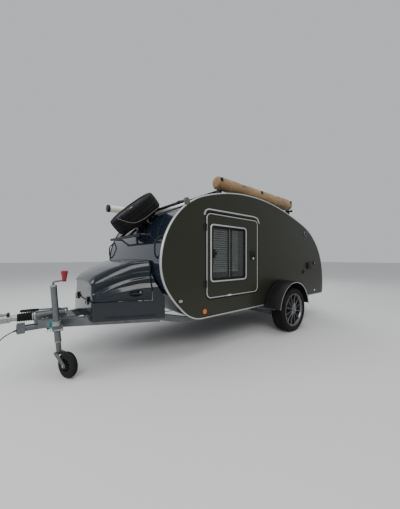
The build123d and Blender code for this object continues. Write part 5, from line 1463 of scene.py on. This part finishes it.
p = Piece("coupling_lever").use("cap")
lever = [(-1.190, 0.018, 0.012), (-1.176, 0.034, 0.013), (-1.150, 0.041, 0.014), (-1.110, 0.043, 0.013), (-1.085, 0.045, 0.012)]
p.use("zinc").rings([[(w, at(s), HZ + z - 0.005), (w, at(s), HZ + z + 0.002), (w * 0.7, at(s), HZ + z + 0.006), (-w * 0.7, at(s), HZ + z + 0.006),
                      (-w, at(s), HZ + z + 0.002), (-w, at(s), HZ + z - 0.005)] for s, z, w in lever])
p.use("plastic").tube([(-0.042, at(-1.076), HZ + 0.040), (-0.03, at(-1.077), HZ + 0.0405), (0, at(-1.078), HZ + 0.041),
                       (0.03, at(-1.077), HZ + 0.0405), (0.042, at(-1.076), HZ + 0.040)], [0.010, 0.0115, 0.0105, 0.0115, 0.010], n=18)
p.use("redgrip").box((-0.010, at(-1.150), HZ + 0.0455), (0.010, at(-1.118), HZ + 0.0505), 0.002)
p.make(replaces=["coupling_handle"], slot="black_plastic", angle=35)

p = Piece("drawbar_bellows").use("rubber")
prof = []
for k in range(57):
    t = k / 56
    base = 0.034 + 0.006 * t
    prof.append((0.118 * t, base + 0.0035 * math.cos(t * math.pi * 2 * 7)))
p.lathe(prof, (0, at(-1.018), HZ), (0, 1, 0), n=48)
p.use("zinc").lathe([(0.0, 0.0405), (0.010, 0.0405), (0.010, 0.0385)], (0, at(-0.912), HZ), (0, 1, 0), n=40)
p.make(replaces=["overrun_bellows"], slot="bellows", angle=60)

p = Piece("drawbar_fittings").use("zinc")
# flange and clamp plates of the overrun device, with their bolts
p.lathe([(0.0, 0.047), (0.012, 0.047), (0.014, 0.044), (0.014, 0.039)], (0, at(-0.900), HZ), (0, 1, 0), n=40)
p.lathe([(0.0, 0.043), (0.012, 0.043)], (0, at(-0.655), HZ), (0, 1, 0), n=40)
for s in (-0.86, -0.82, -0.70, -0.66):
    for sx in (1, -1):
        p.bolt((sx * 0.034, at(s), 0.445), (sx, 0, 0), 0.007, 0.007)
for s in (-0.835, -0.805):
    for sx in (1, -1):
        p.bolt((sx * 0.072, at(s), 0.464), (0, 0, 1), 0.007, 0.007)
for s in (-0.65, -0.59):
    for sx in (1, -1):
        p.bolt((sx * 0.112, at(s), 0.464), (0, 0, 1), 0.007, 0.007)
# grease nipples
for s in (-0.76, -0.72):
    p.lathe([(0, 0.005), (0.006, 0.005), (0.006, 0.003), (0.012, 0.0032), (0.014, 0.002)], (0, at(s), HZ + 0.0375), (0, 0, 1), n=12)
# brake lever sector and handbrake grip along the housing
p.use("galv")
lev = [(0.0, at(-0.660), HZ + 0.030), (0.0, at(-0.700), HZ + 0.046), (0.0, at(-0.790), HZ + 0.052), (0.0, at(-0.872), HZ + 0.055)]
for x in (0.020,):
    p.tube([(x, y, z) for _, y, z in lev], [0.007, 0.008, 0.008, 0.008], n=12)
p.use("rubber").tube([(0.020, at(-0.862), HZ + 0.055), (0.020, at(-0.905), HZ + 0.056), (0.020, at(-0.985), HZ + 0.058), (0.020, at(-0.998), HZ + 0.058)],
                     [0.011, 0.0125, 0.0125, 0.009], n=18)
p.use("galv").box((0.012, at(-0.672), HZ + 0.005), (0.028, at(-0.628), HZ + 0.046), 0.004)
# brake rod from the housing back under the floor
p.use("zinc").tube([(0.0, at(-0.64), 0.430), (0.0, at(-0.3), 0.395), (0.0, at(0.3), 0.322), (0.0, at(1.70), 0.300)], 0.005, n=10)
# plug of the coupling tube's front end and its black cap
p.use("plastic").box((-0.030, at(-1.0235), DZ - 0.030), (0.030, at(-1.018), DZ + 0.034), 0.002)
p.lathe([(0, 0.014), (0.012, 0.014), (0.018, 0.010)], (0.026, at(-0.79), 0.3655), (0, 0, -1), n=20)
p.make(slot="galvanised", angle=35)

# bolts and holes' plates on the rails, mudguard stays and axle pads
p = Piece("chassis_bolts").use("zinc")
for sx in (1, -1):
    for s in (-0.40, -0.10):
        x = 0.036 + 0.52 * (s + 0.86)
        p.bolt((sx * x, at(s), 0.458 if s > -0.45 else 0.458), (0, 0, 1), 0.007, 0.0035)
    for s in (0.55, 1.20, 1.80, 2.60, 3.25):
        p.bolt((sx * 0.560, at(s), 0.326), (0, 0, -1), 0.008, 0.007)
    for s in (1.571 + 0.015, 2.331 + 0.015):
        for x in (0.80, 0.87):
            p.bolt((sx * x, at(s), 0.352), (0, 0, 1), 0.006, 0.005)
    for s in (AXLE_S - 0.200, AXLE_S - 0.100):
        for x in (0.528, 0.592):
            p.bolt((sx * x, at(s), 0.290), (0, 0, -1), 0.008, 0.008)
p.make(slot="galvanised", angle=35)

# ------------------------------------------------------------------ jockey wheel
JX, JS, JZ, LEAN = 0.260, -0.746, 0.372, math.radians(4.0)
leg_dir = Vector((0, -math.sin(LEAN), math.cos(LEAN)))


def leg_point(h):
    return Vector((JX, at(JS), JZ)) + leg_dir * ((h - JZ) / math.cos(LEAN))


set_mat("jockey_leg", "galv")
set_mat("jockey_tube", "galv")
top = leg_point(0.812)
p = Piece("jockey_fittings").use("zinc")
p.lathe([(-0.006, 0.0265), (0.004, 0.0265), (0.008, 0.022), (0.010, 0.011)], leg_point(0.775), leg_dir, n=36)
p.lathe([(-0.004, 0.0275), (0.006, 0.0275)], leg_point(0.292), leg_dir, n=36)
p.lathe([(0, 0.011), (0.012, 0.011), (0.014, 0.008)], top - leg_dir * 0.008, leg_dir, n=6)
# clamp shell round the tube with its T screw
for h in (0.398, 0.418):
    p.lathe([(-0.005, 0.030), (0.005, 0.030)], leg_point(h), leg_dir, n=36)
c = Vector((JX + 0.038, at(JS), 0.408))
p.tube([c - Vector((0.004, 0, 0)), c + Vector((0.040, 0, 0))], 0.0075, n=14)
p.tube([c + Vector((0.036, -0.030, 0)), c + Vector((0.036, 0.030, 0))], 0.0055, n=12)
# round collar above it, its ear towards the hitch and the twine wound on the ear
p.lathe([(-0.026, 0.0262), (-0.024, 0.0325), (-0.012, 0.0352), (0.012, 0.0352), (0.024, 0.0325), (0.026, 0.0262)], leg_point(0.446), leg_dir, n=44)
ear = leg_point(0.446) + Vector((-0.020, -0.042, 0.0))
p.box(ear - Vector((0.007, 0.020, 0.016)), ear + Vector((0.007, 0.020, 0.016)), 0.004, 2)
p.use("twine")
for k in range(5):
    y = -0.017 + 0.0068 * k
    loop = []
    for i in range(25):
        a = 2 * math.pi * i / 24
        loop.append(ear + Vector((0.0125 * math.cos(a), y + 0.0034 * i / 24, 0.0225 * math.sin(a))))
    p.tube(loop, 0.0032, n=8)
for dx, dy in ((0.010, -0.024), (0.006, 0.012), (0.014, -0.004)):
    p.tube([ear + Vector((0.010, 0.3 * dy, -0.014)), ear + Vector((0.011 + 0.3 * dx, 0.6 * dy, -0.030)),
            ear + Vector((0.012 + 0.7 * dx, 0.9 * dy, -0.046)), ear + Vector((0.012 + dx, dy, -0.060))], 0.0022, n=8)
# flared grip of the crank
p.use("redgrip").lathe([(-0.005, 0.004), (-0.004, 0.0140), (0.004, 0.0162), (0.030, 0.0185), (0.058, 0.0235), (0.078, 0.0275),
                        (0.086, 0.0275), (0.0915, 0.0235), (0.094, 0.012), (0.0945, 0.002)], (top.x, top.y + 0.084, top.z), (0, 0, 1), n=32)
p.make(slot="galvanised", angle=35)

swing = math.radians(66.0)
fork = Vector((math.sin(swing), math.cos(swing), 0))
across = Vector((-math.cos(swing), math.sin(swing), 0))
JR = 0.108
foot = leg_point(JR)
hub = Vector((foot.x, foot.y, JR)) + fork * 0.112
p = Piece("jockey_rubber_wheel", "jockey_wheel_body").use("rubber")
h = 0.025
prof = [(-h, 0.062), (-h, 0.092), (-h * 0.86, 0.102), (-h * 0.55, 0.1072), (-h * 0.2, 0.1078), (-h * 0.12, 0.1055), (h * 0.12, 0.1055),
        (h * 0.2, 0.1078), (h * 0.55, 0.1072), (h * 0.86, 0.102), (h, 0.092), (h, 0.062), (h * 0.8, 0.060), (-h * 0.8, 0.060)]
p.lathe(prof, hub, across, n=72, closed=True)
p.use("plastic")
p.lathe([(-h * 0.9, 0.063), (-h * 0.9, 0.055), (-h * 0.25, 0.050), (-h * 0.25, 0.024), (-h, 0.020), (-h, 0.0085), (h, 0.0085), (h, 0.020),
         (h * 0.25, 0.024), (h * 0.25, 0.050), (h * 0.9, 0.055), (h * 0.9, 0.063)], hub, across, n=56, closed=True)
for k in range(8):
    a = 2 * math.pi * k / 8
    u = Vector((0, 0, 1)) * math.cos(a) + fork * math.sin(a)
    t = across.cross(u)
    rings = []
    for r in (0.020, 0.055):
        c0 = hub + u * r
        rings.append([c0 + t * 0.003 + across * (h * 0.85), c0 - t * 0.003 + across * (h * 0.85), c0 - t * 0.003 - across * (h * 0.85),
                      c0 + t * 0.003 - across * (h * 0.85)])
    p.rings(rings)
p.make(replaces=["jockey_wheel"], slot="black_plastic", angle=40)
set_mat("jockey_fork", "galv")
p = Piece("jockey_axle_nuts", "jockey_fork_body").use("zinc")
for k in (-1, 1):
    c = hub + across * (k * 0.037)
    p.lathe([(0, 0.0135), (0.002, 0.0135), (0.002, 0.011), (0.010, 0.011), (0.012, 0.009)], c, across * k, n=6)
p.make(slot="galvanised", angle=35)

# ------------------------------------------------------------------ towing lead
LEAD_D = 0.009
ROUTE = [(0.020, -1.048, 0.374), (0.020, -1.084, 0.358), (0.021, -1.121, 0.332), (0.024, -1.151, 0.291), (0.030, -1.172, 0.240),
         (0.038, -1.186, 0.184), (0.047, -1.199, 0.124), (0.057, -1.212, 0.068), (0.065, -1.236, 0.026), (0.070, -1.272, 0.007),
         (0.072, -1.310, 0.005)]
CX, CS, CR = 0.122, -1.310, 0.050
pts = [Vector((x, at(s), z)) for x, s, z in ROUTE]
turns = []
N = 16
total = int(N * 2.85)
for k in range(1, total + 1):
    a = math.pi + 2 * math.pi * k / N          # starts on the coil's right, heading forwards
    t = k / total
    lap = k / N
    r = CR + 0.0045 * math.sin(lap * 2.2) * 0.9
    z = 0.0048 + 0.0088 * min(1.0, max(0.0, lap - 0.85) * 1.6) if lap < 1.9 else 0.0048 + 0.0088
    if lap > 0.95:
        r = CR - 0.0042 + 0.0084 * min(1.0, (lap - 0.95))
    if lap > 1.9:
        r = CR - 0.0005 + 0.003 * math.sin(lap * 4)
        z = 0.0136 + 0.003 * min(1.0, lap - 1.9)
    turns.append(Vector((CX + r * math.cos(a), at(CS) + r * math.sin(a), z)))
cu = bpy.data.curves.new("towing_lead_cable", "CURVE")
cu.dimensions = "3D"
cu.bevel_depth = LEAD_D / 2
cu.bevel_resolution = 5
cu.resolution_u = 10
cu.use_fill_caps = True
spl = cu.splines.new("NURBS")
allp = pts + turns
spl.points.add(len(allp) - 1)
for q, c in zip(spl.points, allp):
    q.co = (c.x, c.y, c.z, 1)
spl.order_u = 3
spl.use_endpoint_u = True
cu.materials.append(M["lead"])
cable = bpy.data.objects.new("towing_lead_cable", cu)
bpy.context.scene.collection.objects.link(cable)
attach(cable, "trailer")
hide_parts("towing_lead", "lead_coil")

p = Piece("towing_lead_plug").use("plastic")
end = allp[-1]
px = CX + CR
p.lathe([(0.0, 0.0075), (0.006, 0.0105), (0.018, 0.0135), (0.020, 0.0205), (0.024, 0.0215), (0.066, 0.0218), (0.070, 0.0205), (0.074, 0.0200),
         (0.074, 0.0175), (0.060, 0.0170)], (px, at(CS + 0.016), 0.022), (0, 1, 0), n=36)
for k in range(12):
    a = 2 * math.pi * k / 12
    q = Vector((px + 0.0212 * math.cos(a), at(CS + 0.030), 0.022 + 0.0212 * math.sin(a)))
    if q.z > 0.004:
        p.tube([q, q + Vector((0, 0.022, 0))], 0.0012, n=6)
p.use("chrome")
for k in range(8):
    a = 2 * math.pi * k / 8
    q = Vector((px + 0.010 * math.cos(a), at(CS + 0.076), 0.022 + 0.010 * math.sin(a)))
    p.tube([q, q + Vector((0, 0.012, 0))], 0.0014, n=8)
plug = p.make(replaces=["lead_plug"], slot="black_plastic", angle=35)

p = Piece("towing_lead_gland").use("plastic")
g0, g1 = Vector((0.020, at(-1.020), 0.382)), Vector((0.020, at(-1.048), 0.374))
d = (g1 - Vector((0.020, at(-1.026), 0.382))).normalized()
p.lathe([(0, 0.011), (0.005, 0.011), (0.006, 0.0095)], g0, (0, -1, 0), n=6)
q0 = Vector((0.020, at(-1.026), 0.382))
L = (g1 - q0).length
rings = []
for k in range(13):
    t = k / 12
    r = 0.009 - 0.0038 * t + (0.0006 if k % 2 else -0.0002)
    rings.append((L * t, r))
p.lathe(rings, q0, d, n=22)
gland = p.make(replaces=["lead_gland"], slot="black_plastic", angle=50)

p = Piece("towing_lead_tie").use("strap")
ring = []
for k in range(24):
    a = 2 * math.pi * k / 24
    cx, cz = CX, 0.0110
    ring.append([(cx + w, at(CS) - CR + (0.0128 + dd) * math.cos(a), cz + (0.0098 + dd * 0.7) * math.sin(a)) for w, dd in
                 ((-0.005, 0.0), (-0.005, 0.0012), (0.005, 0.0012), (0.005, 0.0))])
p.rings(ring, close_path=True)
tie = p.make(slot="black_plastic")


def spline_length(obj):
    dg = bpy.context.evaluated_depsgraph_get()
    c2 = obj.data.copy()
    c2.bevel_depth = 0
    tmp = bpy.data.objects.new("tmp_line", c2)
    bpy.context.scene.collection.objects.link(tmp)
    bpy.context.view_layer.update()
    me = bpy.data.meshes.new_from_object(tmp)
    L = sum((me.vertices[e.vertices[0]].co - me.vertices[e.vertices[1]].co).length for e in me.edges)
    bpy.data.objects.remove(tmp)
    bpy.data.meshes.remove(me)
    bpy.data.curves.remove(c2)
    return L


lead_len = spline_length(cable)
print("lead length", round(lead_len, 3))

# ------------------------------------------------------------------ mattress and galley inside
p = Piece("bed_mattress").use("mattress")
x0, x1, y0, y1, z0, z1 = -0.686, 0.686, at(0.564), at(2.544), 0.4068, 0.520
nx, ny = 40, 56
topv = []
for j in range(ny + 1):
    for i in range(nx + 1):
        u, w = i / nx, j / ny
        ex, ey = min(u, 1 - u) * (x1 - x0), min(w, 1 - w) * (y1 - y0)
        e = min(ex, ey)
        z = z1 - 0.018 * math.exp(-e / 0.018)
        z -= 0.0055 * math.exp(-((math.sin(math.pi * u * 7) ** 2 + math.sin(math.pi * w * 10) ** 2) / 0.14))
        z += 0.002 * noise.noise(Vector((u * 6, w * 8, 1)))
        topv.append((x0 + (x1 - x0) * u, y0 + (y1 - y0) * w, z))
faces = []
for j in range(ny):
    for i in range(nx):
        a = j * (nx + 1) + i
        faces.append((a, a + 1, a + nx + 2, a + nx + 1))
p.add(topv, faces)
rim_idx = [i for i in range(nx + 1)] + [j * (nx + 1) + nx for j in range(1, ny + 1)] + [ny * (nx + 1) + i for i in range(nx - 1, -1, -1)] + \
          [j * (nx + 1) for j in range(ny - 1, 0, -1)]
rows = [[topv[i] for i in rim_idx]]
for t, bulge in ((0.12, 0.002), (0.5, 0.003), (0.88, 0.002), (1.0, -0.004)):
    row = []
    for i in rim_idx:
        x, y, z = topv[i]
        cx, cy = (x0 + x1) / 2, (y0 + y1) / 2
        row.append((x + math.copysign(bulge, x - cx) if abs(abs(x - cx) - (x1 - x0) / 2) < 1e-6 else x,
                    y + math.copysign(bulge, y - cy) if abs(abs(y - cy) - (y1 - y0) / 2) < 1e-6 else y,
                    z + (z0 - z) * t))
    rows.append(row)
p.rings(rows, cap0=False, cap1=True)
bed = p.make(replaces=["mattress"], slot="mattress", angle=60)

# galley: worktop sheet, cupboard doors below it, sliding doors on the bulkhead
p = Piece("galley_fittings").use("ply_edge")
p.box((-0.700, at(2.584), 0.8995), (0.700, at(3.174), 0.9020), 0.0008, 1)
p.box((-0.711, at(3.1795), 0.8745), (0.711, at(3.1825), 0.9025), 0.0008, 1)
for x0, x1 in ((-0.700, -0.238), (-0.232, 0.232), (0.238, 0.700)):
    p.use("wood").box((x0, at(3.1375), 0.432), (x1, at(3.150), 0.862), 0.002, 2)
    p.use("chrome").lathe([(0, 0.024), (0.003, 0.024), (0.0045, 0.021), (0.0045, 0.018), (0.001, 0.017)],
                          ((x0 + x1) / 2, at(3.1495), 0.805), (0, 1, 0), n=36)
    # painted shade: a near-black disc fills the shaded hollow of the finger pull
    p.use("recess_shade").lathe([(0, 0.0172), (0.0008, 0.0172)], ((x0 + x1) / 2, at(3.1496), 0.805), (0, 1, 0), n=28)
p.use("alloy")
for z in (1.178, 1.426):
    p.box((-0.690, at(2.5775), z), (0.690, at(2.600), z + 0.014), 0.002, 1)
for x0, x1, s in ((-0.684, 0.006, 2.5800), (-0.006, 0.684, 2.5880)):
    p.use("wood").box((x0, at(s), 1.190), (x1, at(s + 0.006), 1.428), 0.001, 1)
    xk = x1 - 0.07 if x0 > -0.1 else x0 + 0.07
    p.use("chrome").lathe([(0, 0.019), (0.002, 0.019), (0.003, 0.016), (0.001, 0.013)], (xk, at(s + 0.006), 1.309), (0, 1, 0), n=30)
    # painted shade: a near-black disc fills the shaded hollow of the finger pull
    p.use("recess_shade").lathe([(0, 0.0132), (0.0006, 0.0132)], (xk, at(s + 0.0061), 1.309), (0, 1, 0), n=24)
p.make(slot="interior_wood", angle=40)

# ------------------------------------------------------------------ floor, light, camera
def stage_material():
    m = bpy.data.materials.new("pale_floor")
    m.use_nodes = True
    nt = m.node_tree
    b = nt.nodes["Principled BSDF"]
    b.inputs["Roughness"].default_value = 0.85
    n = nt.nodes.new("ShaderNodeTexNoise")
    n.inputs["Scale"].default_value = 3.0
    r = nt.nodes.new("ShaderNodeValToRGB")
    r.color_ramp.elements[0].color = (0.62, 0.62, 0.61, 1)
    r.color_ramp.elements[1].color = (0.68, 0.68, 0.67, 1)
    nt.links.new(n.outputs["Fac"], r.inputs["Fac"])
    nt.links.new(r.outputs["Color"], b.inputs["Base Color"])
    return m


fm = bpy.data.meshes.new("studio_floor")
R = 60.0
fm.from_pydata([(-R, -R, 0), (R, -R, 0), (R, R, 0), (-R, R, 0)], [], [(0, 1, 2, 3)])
fm.materials.append(stage_material())
floor = bpy.data.objects.new("studio_floor", fm)
bpy.context.scene.collection.objects.link(floor)

world = bpy.data.worlds.new("studio")
bpy.context.scene.world = world
world.use_nodes = True
world.node_tree.nodes["Background"].inputs["Color"].default_value = (0.86, 0.89, 0.93, 1)
world.node_tree.nodes["Background"].inputs["Strength"].default_value = 0.66


def area(name, loc, look, size, power, colour=(1, 1, 1)):
    L = bpy.data.lights.new(name, "AREA")
    L.shape = "RECTANGLE"
    L.size, L.size_y = size
    L.energy = power
    L.color = colour
    o = bpy.data.objects.new(name, L)
    bpy.context.scene.collection.objects.link(o)
    o.location = loc
    o.rotation_euler = (Vector(look) - Vector(loc)).to_track_quat("-Z", "Y").to_euler()
    return o


area("key_light", (5.5, -5.0, 6.0), (0, 0, 0.8), (5.0, 4.0), 360, (1.0, 0.98, 0.95))
area("front_light", (-2.5, -7.5, 4.5), (0, -1.0, 0.8), (5.0, 3.0), 200, (0.95, 0.98, 1.0))
area("top_light", (0.0, 0.5, 7.5), (0, 0.3, 0.8), (6.0, 6.0), 230)
area("back_light", (-5.0, 6.0, 4.5), (0, 0.5, 1.0), (4.0, 3.0), 150)

cam_data = bpy.data.cameras.new("camera")
cam_data.sensor_fit = "HORIZONTAL"
cam_data.sensor_width = 36.0
cam_data.lens = 20.362
cam_data.shift_y = 0.00886
cam_data.clip_start, cam_data.clip_end = 0.05, 300
cam = bpy.data.objects.new("camera", cam_data)
bpy.context.scene.collection.objects.link(cam)
cam.location = (2.5688, -2.1186, 1.0163)
cam.rotation_euler = (math.radians(90), 0, math.radians(50.853))
bpy.context.scene.camera = cam
